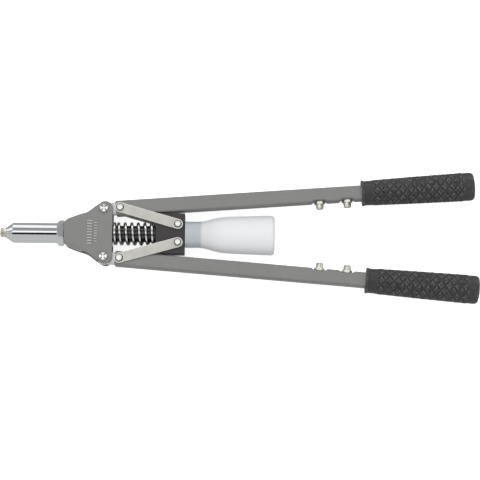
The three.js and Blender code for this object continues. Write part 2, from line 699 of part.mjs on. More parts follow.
// ---------- links ----------
for (const [name, side] of [["upper", 1], ["lower", -1]]) {
  const leverPin = new THREE.Vector2(
    LINK_ARM * Math.cos(LEVER_TILT), PIVOT_Y + LINK_ARM * Math.sin(LEVER_TILT));
  const reach = new THREE.Vector2(BLOCK_PIN.x, BLOCK_PIN.y).sub(leverPin);
  const length = reach.length();
  const pair = new THREE.Group();
  pair.position.set(leverPin.x, side * leverPin.y, 0);
  pair.rotation.z = side * reach.angle();
  tool.add(pair);
  add(pair, `${name}_link_front`, link(length), nickel());
  add(pair, `${name}_link_rear`, link(length), nickel()).scale.z = -1;
  add(pair, `${name}_block_pin`, linkPin(2.2, 3.05), zinc()).position.x = length;
  add(pair, `${name}_block_pin_clip`, pinClip(2.2), blackSteel()).position.x = length;
}

// ---------- pull block ----------
add(tool, "joint_block", jointBlock(), darkBlock());
add(tool, "guide_sleeve", guideSleeve(), blackSteel());
add(tool, "pull_rod", pullRod(), toolSteel());
add(tool, "bottle_adapter", bottleAdapter(), whitePlastic());
add(tool, "jaw_case_head", jawCaseHead(), toolSteel());
add(tool, "jaw_case_body", jawCaseBody(), toolSteel());
add(tool, "jaw_case_lock_nut", jawCaseLockNut(), toolSteel());
add(tool, "bottle", bottle(), milkyPlastic());

// ---------- jaws ----------
for (const i of [0, 1, 2]) {
  add(tool, `jaw_${i + 1}`, jaw(), toolSteel()).rotation.x = (i * 2 * Math.PI) / 3;
}
add(tool, "jaw_pusher", jawPusher(), toolSteel());
add(tool, "jaw_pusher_spring", jawPusherSpring(), blackSteel());

export default root;
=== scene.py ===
"""Long-lever hand riveter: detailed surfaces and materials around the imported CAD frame.

Shapes are drawn in millimetres in one of three local frames and placed in metres:
the tool's (zero on the pull axis between the lever pivots), a lever's (zero at its pivot,
+X along the lever) and a link pair's (zero at its lever pin, +X towards the joint block).
"""
import json
import math

import bmesh
import bpy
from mathutils import Matrix, Vector


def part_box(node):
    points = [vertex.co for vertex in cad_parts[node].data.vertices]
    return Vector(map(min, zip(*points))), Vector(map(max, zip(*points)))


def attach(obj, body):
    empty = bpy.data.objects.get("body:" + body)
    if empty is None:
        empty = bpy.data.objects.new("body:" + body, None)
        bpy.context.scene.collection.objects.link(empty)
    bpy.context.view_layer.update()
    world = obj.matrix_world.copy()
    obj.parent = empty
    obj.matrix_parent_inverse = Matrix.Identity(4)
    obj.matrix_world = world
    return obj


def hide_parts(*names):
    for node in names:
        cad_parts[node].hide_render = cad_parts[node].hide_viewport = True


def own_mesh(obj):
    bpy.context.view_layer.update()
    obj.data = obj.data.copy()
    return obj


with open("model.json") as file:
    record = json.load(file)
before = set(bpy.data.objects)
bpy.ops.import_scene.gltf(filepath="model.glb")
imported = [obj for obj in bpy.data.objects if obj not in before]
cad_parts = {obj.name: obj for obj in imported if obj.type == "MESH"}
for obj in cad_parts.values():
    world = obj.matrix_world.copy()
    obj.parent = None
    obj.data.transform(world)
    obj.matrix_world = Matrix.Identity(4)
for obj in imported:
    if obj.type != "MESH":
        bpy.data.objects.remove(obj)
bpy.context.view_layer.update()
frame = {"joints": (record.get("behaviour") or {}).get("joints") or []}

MM = 0.001
SIDES = {"upper": 1, "lower": -1}
TAU = 2 * math.pi

# ------------ places from the frame
JOINTS = {j["name"]: j for j in frame["joints"]}


def joint_at(name):
    return Vector(JOINTS[name]["pos_m"])


def middle(node):
    low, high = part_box(node)
    return (low + high) / 2


def placed(origin, turn=0.0):
    return Matrix.Translation(origin) @ Matrix.Rotation(turn, 4, "Z")


def heading(a, b):
    return math.atan2(b.y - a.y, b.x - a.x)


PIVOT = {name: joint_at(f"{name}_lever_hinge") for name in SIDES}
LEVER_PIN = {name: joint_at(f"{name}_link_hinge") for name in SIDES}
BLOCK_PIN = {name: middle(f"{name}_block_pin") for name in SIDES}
ORIGIN = Vector((PIVOT["upper"].x, 0, PIVOT["upper"].z))
TOOL = placed(ORIGIN)
AT_PIVOT = {name: placed(PIVOT[name]) for name in SIDES}
AT_LEVER = {name: placed(PIVOT[name], heading(PIVOT[name], LEVER_PIN[name])) for name in SIDES}
AT_LINK = {name: placed(LEVER_PIN[name], heading(LEVER_PIN[name], BLOCK_PIN[name]))
           for name in SIDES}
LINK_ARM = (LEVER_PIN["upper"] - PIVOT["upper"]).xy.length / MM
LINK_LENGTH = (BLOCK_PIN["upper"] - LEVER_PIN["upper"]).xy.length / MM
LINK_R = 5.5
PIVOT_Y = PIVOT["upper"].y / MM


def span(node, axis=0):
    """Lowest and highest place of a node along an axis, in the tool's millimetres."""
    low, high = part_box(node)
    return (low[axis] - ORIGIN[axis]) / MM, (high[axis] - ORIGIN[axis]) / MM


PLATE_Z0, PLATE_Z1 = span("frame_plate_front", 2)

# ------------ outlines and profiles
def arc(cx, cy, r, start, end, steps):
    """Points of a round stretch; angles in degrees."""
    angles = [math.radians(start + (end - start) * i / steps) for i in range(steps + 1)]
    return [(cx + r * math.cos(a), cy + r * math.sin(a)) for a in angles]


def bezier(points, steps):
    """Points of a quadratic or cubic curve, without its first point."""
    made = []
    for i in range(1, steps + 1):
        level = [Vector(p) for p in points]
        while len(level) > 1:
            level = [a.lerp(b, i / steps) for a, b in zip(level, level[1:])]
        made.append(tuple(level[0]))
    return made


FILLET_STEPS = 4


def rounded(profile, closed=False):
    """Rounds the corners of a profile of (along, radius) or (along, radius, fillet) points."""
    made = []
    count = len(profile)
    for i, point in enumerate(profile):
        fillet = point[2] if len(point) > 2 else 0
        p = Vector(point[:2])
        if fillet <= 0 or (not closed and i in (0, count - 1)):
            made.append(tuple(p))
            continue
        before = Vector(profile[i - 1][:2]) - p
        after = Vector(profile[(i + 1) % count][:2]) - p
        half = before.angle(after) / 2
        reach = min(fillet / math.tan(half), 0.48 * before.length, 0.48 * after.length)
        ends = p + before.normalized() * reach, p + after.normalized() * reach
        made.append(tuple(ends[0]))
        made += bezier([ends[0], p, ends[1]], FILLET_STEPS)
    return made


def interpolated(stops, x):
    """The value at x on a broken line of (x, value) stops."""
    for (xa, va), (xb, vb) in zip(stops, stops[1:]):
        if x <= xb:
            return va + (vb - va) * (x - xa) / (xb - xa)
    return stops[-1][1]


def rounded_rect(half_x, half_y, r, steps=6):
    corners = [(1, 1, 0), (-1, 1, 90), (-1, -1, 180), (1, -1, 270)]
    points = []
    for sx, sy, start in corners:
        points += arc(sx * (half_x - r), sy * (half_y - r), r, start, start + 90, steps)
    return points


def hexagon(across_flats, turn=0.0):
    r = across_flats / math.sqrt(3)
    return [(r * math.cos(turn + i * TAU / 6), r * math.sin(turn + i * TAU / 6))
            for i in range(6)]


# ------------ solids, in millimetres
AXES = {
    "X": Matrix.Identity(4),
    "Y": Matrix(((0, 1, 0, 0), (1, 0, 0, 0), (0, 0, 1, 0), (0, 0, 0, 1))),
    "Z": Matrix(((0, 1, 0, 0), (0, 0, 1, 0), (1, 0, 0, 0), (0, 0, 0, 1))),
}


def circle(bm, x, r, count):
    """A ring of new vertices round the X axis."""
    return [bm.verts.new((x, r * math.cos(TAU * i / count), r * math.sin(TAU * i / count)))
            for i in range(count)]


def stitch(bm, rings):
    """Four-sided faces between rings that hold equally many vertices."""
    for a, b in zip(rings, rings[1:]):
        for k in range(len(a)):
            j = (k + 1) % len(a)
            bm.faces.new((a[k], a[j], b[j], b[k]))


def solid(bm, name="solid"):
    bmesh.ops.recalc_face_normals(bm, faces=bm.faces)
    mesh = bpy.data.meshes.new(name)
    bm.to_mesh(mesh)
    bm.free()
    obj = bpy.data.objects.new(name, mesh)
    bpy.context.scene.collection.objects.link(obj)
    return obj


def turned(profile, axis="X", segments=96, closed=False, shift=(0, 0, 0)):
    """A solid of revolution; a closed profile makes a ring, an open one ends on the axis."""
    bm = bmesh.new()
    rings = []
    for along, r in rounded(profile, closed):
        if r < 1e-6:
            rings.append([bm.verts.new((along, 0, 0))])
        else:
            rings.append(circle(bm, along, r, segments))
    pairs = list(zip(rings, rings[1:])) + ([(rings[-1], rings[0])] if closed else [])
    for a, b in pairs:
        for i in range(segments):
            j = (i + 1) % segments
            corners = [a[i % len(a)], a[j % len(a)], b[j % len(b)], b[i % len(b)]]
            unique = list(dict.fromkeys(corners))
            if len(unique) > 2:
                bm.faces.new(unique)
    bm.transform(Matrix.Translation(shift) @ AXES[axis])
    return solid(bm)


def prism(outline, z0, z1, axis="Z", bend=None):
    """An outline drawn out along an axis. bend may move the vertices of the closed solid."""
    bm = bmesh.new()
    low = [bm.verts.new((z0, x, y)) for x, y in outline]
    high = [bm.verts.new((z1, x, y)) for x, y in outline]
    bm.faces.new(low)
    bm.faces.new(high[::-1])
    for i in range(len(outline)):
        j = (i + 1) % len(outline)
        bm.faces.new((low[i], high[i], high[j], low[j]))
    bm.transform(AXES[axis])
    if bend:
        bend(bm)
    return solid(bm)


def rod(a, b, r, axis="X", shift=(0, 0, 0)):
    return turned([(a, 0), (a, r), (b, r), (b, 0)], axis, 64, shift=shift)


def block(x0, x1, y0, y1, z0, z1):
    return prism([(x0, y0), (x1, y0), (x1, y1), (x0, y1)], z0, z1)


def applied(obj):
    """Makes the result of the modifiers the mesh itself."""
    depsgraph = bpy.context.evaluated_depsgraph_get()
    mesh = bpy.data.meshes.new_from_object(obj.evaluated_get(depsgraph))
    old = obj.data
    obj.modifiers.clear()
    obj.data = mesh
    bpy.data.meshes.remove(old)
    return obj


def combine(obj, operation, tools):
    for tool in tools:
        step = obj.modifiers.new("combine", "BOOLEAN")
        step.operation = operation
        step.object = tool
        step.solver = "EXACT"
    applied(obj)
    for tool in tools:
        bpy.data.objects.remove(tool)
    return obj


def cut(obj, *tools):
    return combine(obj, "DIFFERENCE", tools)


def join(obj, *tools):
    return combine(obj, "UNION", tools)


def common(obj, *tools):
    return combine(obj, "INTERSECT", tools)


def softened(obj, width, segments=3, angle=32):
    """Rounds every edge sharper than the angle."""
    step = obj.modifiers.new("edges", "BEVEL")
    step.width = width
    step.segments = segments
    step.limit_method = "ANGLE"
    step.angle_limit = math.radians(angle)
    return applied(obj)


def mirrored_z(obj):
    obj.data.transform(Matrix.Scale(-1, 4, (0, 0, 1)))
    obj.data.flip_normals()
    return obj


def piece(name, obj, place, finish, body, slot, *nodes):
    """Names a finished solid, scales it to metres, places it and ties it to its CAD body."""
    obj.name = name
    obj.data.name = name
    obj.data.transform(Matrix.Scale(MM, 4))
    obj.data.shade_smooth()
    mark_creases(obj.data)
    obj.modifiers.new("normals", "WEIGHTED_NORMAL").keep_sharp = True
    applied(obj)
    obj.data.materials.clear()
    obj.data.materials.append(finish)
    obj.matrix_world = place
    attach(obj, body)
    if nodes:
        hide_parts(*nodes)
    return obj


def detail(node, obj, place, finish, body, slot):
    """A piece that stands for one CAD node."""
    piece(f"{node}_detail", obj, place, finish, body, slot, node)


CREASE_ANGLE = math.radians(38)


def mark_creases(mesh):
    """Keeps edges sharper than the crease angle sharp in the shading."""
    bm = bmesh.new()
    bm.from_mesh(mesh)
    for edge in bm.edges:
        edge.smooth = len(edge.link_faces) == 2 and edge.calc_face_angle(0) < CREASE_ANGLE
    bm.to_mesh(mesh)
    bm.free()


# ------------ materials
def add_node(tree, kind, inputs=None, **settings):
    made = tree.nodes.new(kind)
    for key, value in settings.items():
        setattr(made, key, value)
    for key, value in (inputs or {}).items():
        if isinstance(value, bpy.types.NodeSocket):
            tree.links.new(value, made.inputs[key])
        else:
            made.inputs[key].default_value = value
    return made


def object_coords(tree, stretch=(1, 1, 1)):
    coords = add_node(tree, "ShaderNodeTexCoord").outputs["Object"]
    return add_node(tree, "ShaderNodeMapping", {"Vector": coords, "Scale": stretch}).outputs[0]


def noise(tree, coords, scale, detail=3.0):
    return add_node(tree, "ShaderNodeTexNoise", {
        "Vector": coords, "Scale": scale, "Detail": detail, "Roughness": 0.55,
    }).outputs["Fac"]


def ramp(tree, factor, stops):
    made = add_node(tree, "ShaderNodeValToRGB", {"Fac": factor})
    elements = made.color_ramp.elements
    while len(elements) < len(stops):
        elements.new(0.5)
    for element, (place, colour) in zip(elements, stops):
        element.position = place
        element.color = (*colour, 1)
    return made.outputs["Color"]


def spread(tree, factor, low, high, start=0.25, end=0.75):
    return add_node(tree, "ShaderNodeMapRange", {
        "Value": factor, "From Min": start, "From Max": end, "To Min": low, "To Max": high,
    }).outputs[0]


def blend_colour(tree, factor, a, b):
    made = add_node(tree, "ShaderNodeMix", data_type="RGBA")
    tree.links.new(factor, made.inputs[0])
    for index, value in ((6, a), (7, b)):
        if isinstance(value, bpy.types.NodeSocket):
            tree.links.new(value, made.inputs[index])
        else:
            made.inputs[index].default_value = (*value, 1)
    return made.outputs[2]


def bump(tree, height, distance):
    return add_node(tree, "ShaderNodeBump", {
        "Height": height, "Distance": distance, "Strength": 1.0}).outputs[0]


def product(tree, a, b):
    return add_node(tree, "ShaderNodeMath", {0: a, 1: b}, operation="MULTIPLY").outputs[0]


def axis_mask(tree, axis, low, high):
    """Rises from 0 to 1 between two places along an axis of the object, in millimetres."""
    place = add_node(tree, "ShaderNodeSeparateXYZ", {0: object_coords(tree)}).outputs[axis]
    return spread(tree, place, 0.0, 1.0, low * MM, high * MM)


def length_mask(tree, vector, low, high):
    """Rises from 0 to 1 between two lengths of a vector, in millimetres."""
    length = add_node(tree, "ShaderNodeVectorMath", {0: vector}, operation="LENGTH")
    return spread(tree, length.outputs["Value"], 0.0, 1.0, low * MM, high * MM)


def radial_mask(tree, across, low, high):
    """Rises from 0 to 1 between two distances from an axis of the object, in millimetres."""
    flat = add_node(tree, "ShaderNodeVectorMath", {0: object_coords(tree), 1: across},
                    operation="MULTIPLY")
    return length_mask(tree, flat.outputs[0], low, high)


def repaint(material, mask, colour):
    """Blends another colour over a surface where the mask is high."""
    tree = material.node_tree
    base = tree.nodes["Principled BSDF"].inputs["Base Color"]
    tree.links.new(blend_colour(tree, mask, base.links[0].from_socket, colour), base)
    return material


def rim_mask(tree, length, low, high):
    """Rises from 0 to 1 towards the rim of a bar with round ends that lies along X."""
    parts = add_node(tree, "ShaderNodeSeparateXYZ", {0: object_coords(tree)}).outputs
    inside = add_node(tree, "ShaderNodeClamp", {0: parts["X"], 1: 0.0, 2: length * MM}).outputs[0]
    beyond = add_node(tree, "ShaderNodeMath", {0: parts["X"], 1: inside}, operation="SUBTRACT")
    reach = add_node(tree, "ShaderNodeCombineXYZ", {0: beyond.outputs[0], 1: parts["Y"]})
    return length_mask(tree, reach.outputs[0], low, high)


def patches(tree, scale, detail, low, high, start, end):
    """Uneven patches, from low to high where a noise is between start and end."""
    return spread(tree, noise(tree, object_coords(tree), scale, detail), low, high, start, end)


def worn_edges(tree, radius):
    """A mask that is high on outer edges, broken up by a noise."""
    bevel = add_node(tree, "ShaderNodeBevel", {"Radius": radius}, samples=6).outputs[0]
    flat = add_node(tree, "ShaderNodeNewGeometry").outputs["Normal"]
    dot = add_node(tree, "ShaderNodeVectorMath", {0: bevel, 1: flat}, operation="DOT_PRODUCT")
    edge = spread(tree, dot.outputs["Value"], 1.0, 0.0, 0.93, 0.995)
    return product(tree, edge, patches(tree, 260, 4, 0.15, 1.0, 0.42, 0.6))


def shades(colour, amount):
    """A darker and a lighter version of a colour."""
    return [tuple(c * (1 + s * amount) for c in colour) for s in (-1, 1)]


def surface(name, colour, vary=0.06, grain=300, rough=(0.4, 0.5), metal=0.0, peel=(1200, 2e-5),
            stretch=(1, 1, 1), edge=None, edge_radius=0.0006, **fixed):
    """Principled surface: colour and roughness from noise, a fine bump, and optional edge wear."""
    material = bpy.data.materials.new(name)
    material.use_nodes = True
    tree = material.node_tree
    bsdf = tree.nodes["Principled BSDF"]
    coords = object_coords(tree, stretch)
    broad = noise(tree, object_coords(tree), grain / 10, 2)
    fine = noise(tree, coords, grain)
    dark, light = shades(colour, vary)
    tone = ramp(tree, fine, [(0.3, dark), (0.7, light)])
    dark, light = shades(colour, vary * 0.8)
    cloud = ramp(tree, broad, [(0.35, dark), (0.65, light)])
    mixed = blend_colour(tree, spread(tree, fine, 0.4, 0.6), tone, cloud)
    if edge:
        mixed = blend_colour(tree, worn_edges(tree, edge_radius), mixed, edge)
    tree.links.new(mixed, bsdf.inputs["Base Color"])
    tree.links.new(spread(tree, fine, *rough), bsdf.inputs["Roughness"])
    bsdf.inputs["Metallic"].default_value = metal
    height = noise(tree, coords, peel[0], 2)
    tree.links.new(bump(tree, height, peel[1]), bsdf.inputs["Normal"])
    for key, value in fixed.items():
        bsdf.inputs[key.replace("_", " ")].default_value = value
    return material


GREY_PAINT = surface(
    "grey_paint", (0.218, 0.218, 0.212), vary=0.05, grain=420, rough=(0.36, 0.46),
    peel=(1500, 3e-5), edge=(0.32, 0.32, 0.31), edge_radius=0.0007)
NOSEPIECE_STEEL = surface(
    "nosepiece_steel", (0.7, 0.69, 0.62), vary=0.08, grain=900, rough=(0.12, 0.22), metal=1.0,
    peel=(2600, 8e-6), edge=(0.8, 0.79, 0.72), edge_radius=0.0003)
CHROME = surface(
    "chrome", (0.78, 0.8, 0.81), vary=0.015, grain=500, rough=(0.035, 0.07), metal=1.0,
    peel=(900, 1.5e-6))
BARE_STEEL = surface(
    "bare_steel", (0.72, 0.73, 0.73), vary=0.05, grain=700, rough=(0.3, 0.38), metal=1.0,
    peel=(1800, 3e-6), stretch=(0.3, 1, 1))
ZINC = surface(
    "zinc", (0.8, 0.81, 0.79), vary=0.06, grain=1200, rough=(0.13, 0.21), metal=1.0,
    peel=(2600, 8e-6))
BLACK_STEEL = surface(
    "black_steel", (0.011, 0.011, 0.012), vary=0.3, grain=800, rough=(0.14, 0.24),
    peel=(1400, 1e-5), Coat_Weight=0.6, Coat_Roughness=0.08)
DARK_BLOCK = surface(
    "dark_block", (0.04, 0.0345, 0.0365), vary=0.12, grain=650, rough=(0.42, 0.56),
    peel=(1500, 2.5e-5), edge=(0.085, 0.078, 0.079), edge_radius=0.0006)
TOOL_STEEL = surface(
    "tool_steel", (0.2, 0.205, 0.215), vary=0.1, grain=900, rough=(0.25, 0.36), metal=1.0,
    peel=(2000, 8e-6))
BRONZE = surface(
    "bronze", (0.45, 0.27, 0.1), vary=0.1, grain=900, rough=(0.3, 0.42), metal=1.0,
    peel=(2000, 8e-6))
ADAPTER_PLASTIC = surface(
    "adapter_plastic", (0.42, 0.47, 0.5), vary=0.05, grain=500, rough=(0.4, 0.5),
    peel=(1500, 1.5e-5))


def grip_rubber():
    """Black rubber with a fine moulded grain; painted shade darkens the notches and a painted
    highlight lightens the pads' crests.
    """
    material = surface(
        "grip_rubber", (0.034, 0.034, 0.0365), vary=0.2, grain=700, rough=(0.34, 0.5),
        peel=(2600, 3.5e-5), Specular_IOR_Level=0.5)
    tree = material.node_tree
    relief = add_node(tree, "ShaderNodeNewGeometry").outputs["Pointiness"]
    crest_highlight_patches = patches(tree, 210, 5, 0.0, 1.0, 0.42, 0.62)
    notch_shade_patches = patches(tree, 130, 4, 0.15, 1.0, 0.38, 0.6)
    # Painted shade: where the Pointiness is low, down in the notches, the rubber is painted darker
    # in noise patches. Painted highlight: where it is high, on the pads' crests, it is painted
    # lighter.
    notch_shade = spread(tree, relief, 0.0, 0.7, 0.496, 0.47)
    crest_highlight = spread(tree, relief, 0.0, 1.0, 0.505, 0.535)
    repaint(material, product(tree, notch_shade, notch_shade_patches), (0.012, 0.012, 0.013))
    return repaint(material, product(tree, crest_highlight, crest_highlight_patches), (0.135, 0.133, 0.135))


def bottle_plastic():
    """Milky polyethylene with a faint painted glow; painted shade darkens the shoulder, and the
    neck is painted the darker, bluish tone of the adapter seen through its wall.
    """
    # The small emission is a painted glow that brightens the plastic; the bottle is no lamp.
    material = surface(
        "bottle_plastic", (0.9, 0.91, 0.92), vary=0.012, grain=160, rough=(0.34, 0.42),
        peel=(500, 2.5e-5), Transmission_Weight=0.12, IOR=1.5, Subsurface_Weight=0.35,
        Subsurface_Radius=(0.004, 0.004, 0.004), Subsurface_Scale=1.0,
        Emission_Color=(0.95, 0.97, 1, 1), Emission_Strength=0.055)
    # Painted shade on the shoulder, and on the neck a painted see-through tone of the adapter
    # inside.
    shoulder = axis_mask(material.node_tree, "X", 132, 107)
    repaint(material, shoulder, (0.76, 0.77, 0.785))
    neck = axis_mask(material.node_tree, "X", 107.5, 104.2)
    return repaint(material, neck, (0.5, 0.54, 0.565))


def spring_steel():
    """Black oil-hardened wire whose outer ridge is painted bright and metallic as a highlight along
    each turn.
    """
    material = surface(
        "spring_steel", (0.009, 0.009, 0.01), vary=0.3, grain=800, rough=(0.16, 0.26),
        peel=(1400, 1e-5), Specular_IOR_Level=0.22)
    tree = material.node_tree
    # Painted highlight: the outermost ridge of the wire is painted near white in noise patches and
    # made metallic.
    ridge_highlight = product(tree, radial_mask(tree, (0, 1, 1), 12.48, 12.64),
                        patches(tree, 500, 3, 0.8, 1.0, 0.35, 0.5))
    tree.links.new(ridge_highlight, tree.nodes["Principled BSDF"].inputs["Metallic"])
    return repaint(material, ridge_highlight, (0.95, 0.95, 0.93))


def brushed_nickel():
    """Lengthwise brushed nickel with a painted highlight: a band round its rim, over the chamfer,
    is painted lighter and less metallic.
    """
    material = surface(
        "brushed_nickel", (0.7, 0.69, 0.635), vary=0.14, grain=900, rough=(0.28, 0.44), metal=1.0,
        peel=(1500, 1.2e-5), stretch=(0.05, 1, 1))
    tree = material.node_tree
    # Painted highlight on the chamfer round the rim, broken up by noise patches.
    rim = product(tree, rim_mask(tree, LINK_LENGTH, LINK_R - 0.85, LINK_R - 0.6),
                  patches(tree, 300, 4, 0.45, 1.0, 0.38, 0.6))
    metallic = spread(tree, rim, 1.0, 0.15, 0.0, 1.0)
    tree.links.new(metallic, tree.nodes["Principled BSDF"].inputs["Metallic"])
    return repaint(material, rim, (0.88, 0.87, 0.84))


def screw_zinc():
    """Bright zinc, with painted shade down in the arms of a screw's cross recess."""
    material = surface(
        "screw_zinc", (0.86, 0.87, 0.85), vary=0.06, grain=1200, rough=(0.1, 0.17),
        metal=1.0, peel=(2600, 8e-6))
    tree = material.node_tree
    # Painted shade: the recess arms below the head's top are painted dark grey.
    arms = product(tree, radial_mask(tree, (1, 1, 0), 1.3, 2.3),
                   radial_mask(tree, (1, 1, 0), 4.45, 4.2))
    deep_shade = axis_mask(tree, "Z", PLATE_Z1 + 1.95, PLATE_Z1 + 1.5)
    return repaint(material, product(tree, arms, deep_shade), (0.24, 0.24, 0.24))


def ribbed_paint():
    """The grey paint, painted lighter on the tops of raised ribs as a highlight."""
    material = surface(
        "ribbed_paint", (0.218, 0.218, 0.212), vary=0.05, grain=420, rough=(0.3, 0.4),
        peel=(1500, 3e-5))
    tree = material.node_tree
    # Painted highlight: the rib tops are painted light grey in noise patches.
    top_highlight_patches = patches(tree, 900, 3, 0.55, 1.0, 0.35, 0.6)
    top = axis_mask(tree, "Z", PLATE_Z1 + 0.5, PLATE_Z1 + 0.75)
    return repaint(material, product(tree, top_highlight_patches, top), (0.6, 0.6, 0.59))


SPRING_STEEL = spring_steel()
NICKEL = brushed_nickel()
BOTTLE_PLASTIC = bottle_plastic()
SCREW_ZINC = screw_zinc()
RIBBED_PAINT = ribbed_paint()
GRIP_RUBBER = grip_rubber()

# ------------ frame head and nosepiece
NOSE_TIP_X = span("nosepiece")[0]
HEAD_FRONT_X, HEAD_BACK_X = span("frame_head")
HEAD_R = 11.1
HEAD_CONE = 7.3  # length of the head's cone
HEAD_BORE_X = -98  # the jaw case slides in the bore behind this
HEAD_BORE_R = 8.5
TAIL_STEP_X = -100.5
TAIL_X = -96
HEX_FRONT_X = -51
HEX_BACK_X = -43.6
HEX_FLATS = 25.4
HEX_TURN = math.radians(6.5)


def nosepiece():
    """Nose with a bored flat face, a groove behind its rim, a hexagon, and a tail in the head."""
    hex_front = HEAD_FRONT_X - 2.6
    body = turned([
        (NOSE_TIP_X, 0), (NOSE_TIP_X, 4.75, 0.3), (NOSE_TIP_X + 0.7, 5.2, 0.3),
        (NOSE_TIP_X + 2.6, 5.2, 0.25), (NOSE_TIP_X + 3, 4.7, 0.2), (hex_front + 0.4, 4.7, 0.1),
        (hex_front + 0.4, 0),
    ])
    flange = common(
        prism(hexagon(10.4, math.pi / 2), hex_front, HEAD_FRONT_X - 0.3, "X"),
        turned([(hex_front, 0), (hex_front, 5.2), (hex_front + 0.5, 6.1),
                (HEAD_FRONT_X - 0.8, 6.1), (HEAD_FRONT_X - 0.3, 5.5), (HEAD_FRONT_X - 0.3, 0)]))
    tail = turned([(hex_front + 1, 0), (hex_front + 1, 4.2), (TAIL_STEP_X, 4.2, 0.2),
                   (TAIL_STEP_X, 3.6, 0.2), (TAIL_X, 2.9, 0.2), (TAIL_X, 0)])
    body = join(body, softened(flange, 0.12, 2), tail)
    bore = turned([(NOSE_TIP_X - 1, 0), (NOSE_TIP_X - 1, 2.9), (NOSE_TIP_X + 0.5, 2.2),
                   (TAIL_X + 1, 2.2), (TAIL_X + 1, 0)], segments=64)
    return cut(body, bore)


def frame_head():
    """Chromed tube with a cone in front, a bore for the jaw case, and a hexagon collar."""
    tube = turned([
        (HEAD_FRONT_X, 4.5, 0.2), (HEAD_FRONT_X, 6.2, 0.5),
        (HEAD_FRONT_X + HEAD_CONE, HEAD_R, 0.8), (HEX_FRONT_X + 1, HEAD_R),
        (HEX_BACK_X - 2, HEAD_R), (HEX_BACK_X - 2, 7.8), (HEAD_BACK_X, 7.8, 0.5),
        (HEAD_BACK_X, 6, 0.2), (HEX_BACK_X - 2.6, 6, 0.2), (HEX_BACK_X - 2.6, HEAD_BORE_R, 0.3),
        (HEAD_BORE_X, HEAD_BORE_R, 0.3), (HEAD_BORE_X, 4.5, 0.3),
    ], segments=144, closed=True)
    corner = HEX_FLATS / math.sqrt(3)
    hexagonal = common(
        prism(hexagon(HEX_FLATS, -HEX_TURN), HEX_FRONT_X, HEX_BACK_X, "X"),
        turned([(HEX_FRONT_X, 0), (HEX_FRONT_X, HEX_FLATS / 2 - 0.8),
                (HEX_FRONT_X + 2.6, corner), (HEX_BACK_X - 0.5, corner),
                (HEX_BACK_X, corner - 0.9), (HEX_BACK_X, 0)], segments=144))
    collar = cut(softened(hexagonal, 0.25), rod(HEX_FRONT_X - 1, HEX_BACK_X + 1, 8.6))
    return join(tube, collar)


detail("nosepiece", nosepiece(), TOOL, NOSEPIECE_STEEL, "frame", "nosepiece_steel")
detail("frame_head", frame_head(), TOOL, CHROME, "frame", "chrome")

# ------------ frame plates
PLATE_FRONT_X, PLATE_BACK_X = span("frame_plate_front")
PLATE_LOBE_R = 8
SCREW_RECESS = (6.1, 0.35)  # radius and depth of the pressed ring round each pivot screw
CREASE = (Vector((-44.5, 0.8)), Vector((-14, 21.5)))
CREASE_SLOPE = 1 / 7


def plate_outline():
    lobe = (PLATE_BACK_X - PLATE_LOBE_R, PIVOT_Y - 0.2)
    join_at = arc(*lobe, PLATE_LOBE_R, 136, 0, 26)
    half = [(PLATE_FRONT_X, 0), (PLATE_FRONT_X, 9)]
    half += bezier([(PLATE_FRONT_X, 9), (PLATE_FRONT_X + 0.4, 13), (-38.5, 15)], 8)
    half += bezier([(-38.5, 15), (-31, 18), (-26.5, 19.7), (-21, 21)], 12)
    half += bezier([(-21, 21), (-15.6, 22.4), (-12.2, 27.2), join_at[0]], 14)
    half += join_at[1:] + [(PLATE_BACK_X, 0)]
    return half + [(x, -y) for x, y in half[-2:0:-1]]


def hood(bm):
    """Lets the outer face fall away on both sides of two creases, as a pressed hood does."""
    along = (CREASE[1] - CREASE[0]).normalized()
    for side in (1, -1):
        start = Vector((CREASE[0].x, side * CREASE[0].y, 0))
        outward = Vector((-along.y, side * along.x, 0))
        bmesh.ops.bisect_plane(
            bm, geom=bm.verts[:] + bm.edges[:] + bm.faces[:], plane_co=start, plane_no=outward)
        run = Vector((along.x, side * along.y, 0))
        length = (CREASE[1] - CREASE[0]).length
        for v in bm.verts:
            if v.co.z < PLATE_Z1 - 0.01:
                continue
            beyond = (v.co - start).dot(outward)
            share = min(1, max(0, (length * 1.08 - (v.co - start).dot(run)) / (length * 0.25)))
            if beyond > 0:
                v.co.z -= beyond * CREASE_SLOPE * share


def frame_plate():
    body = softened(prism(plate_outline(), PLATE_Z0, PLATE_Z1, bend=hood), 0.8, 4, 40)
    tools = []
    for y in (PIVOT_Y, -PIVOT_Y):
        r, depth = SCREW_RECESS
        tools.append(turned([(PLATE_Z1 - depth, 0), (PLATE_Z1 - depth, r - 0.5, 0.3),
                             (PLATE_Z1 + 0.2, r + 0.1), (PLATE_Z1 + 0.2, 0)], "Z",
                            shift=(0, y, 0)))
        tools.append(rod(PLATE_Z0 - 1, PLATE_Z1 + 1, 3.1, "Z", (0, y, 0)))
    return cut(body, *tools)


def plate_ribs():
    """Two plain columns of raised ribs, pressed out of the front plate."""
    bm = bmesh.new()
    columns = [(-15.2, 5.4, 1.15, 3.1, 9), (-8.6, 3.6, 0.9, 2.9, 8)]
    for x, width, height, pitch, count in columns:
        for i in range(count):
            y = (i - (count - 1) / 2) * pitch
            place = Matrix.Translation((x, y, PLATE_Z1 + 0.2)) @ Matrix.Diagonal(
                (width, height, 1.4, 1))
            bmesh.ops.create_cube(bm, size=1, matrix=place)
    return softened(solid(bm), 0.2, 3)


detail("frame_plate_front", frame_plate(), TOOL, GREY_PAINT, "frame", "grey_paint")
detail("frame_plate_rear", mirrored_z(frame_plate()), TOOL, GREY_PAINT, "frame", "grey_paint")
piece("plate_ribs", plate_ribs(), TOOL, RIBBED_PAINT, "frame", "grey_paint")

# ------------ pivot screws, nuts, bushes
HEAD_SEAT_Z = PLATE_Z1 - 0.05
SCREW_HEAD_R = 4.6
SCREW_SHANK_R = 2.9
NUT_FLATS = 10
NUT_BORE_R = 3.05
EYE_HALF_Z = 9  # the lever heads' eyes and their bushes fill the gap between the plates


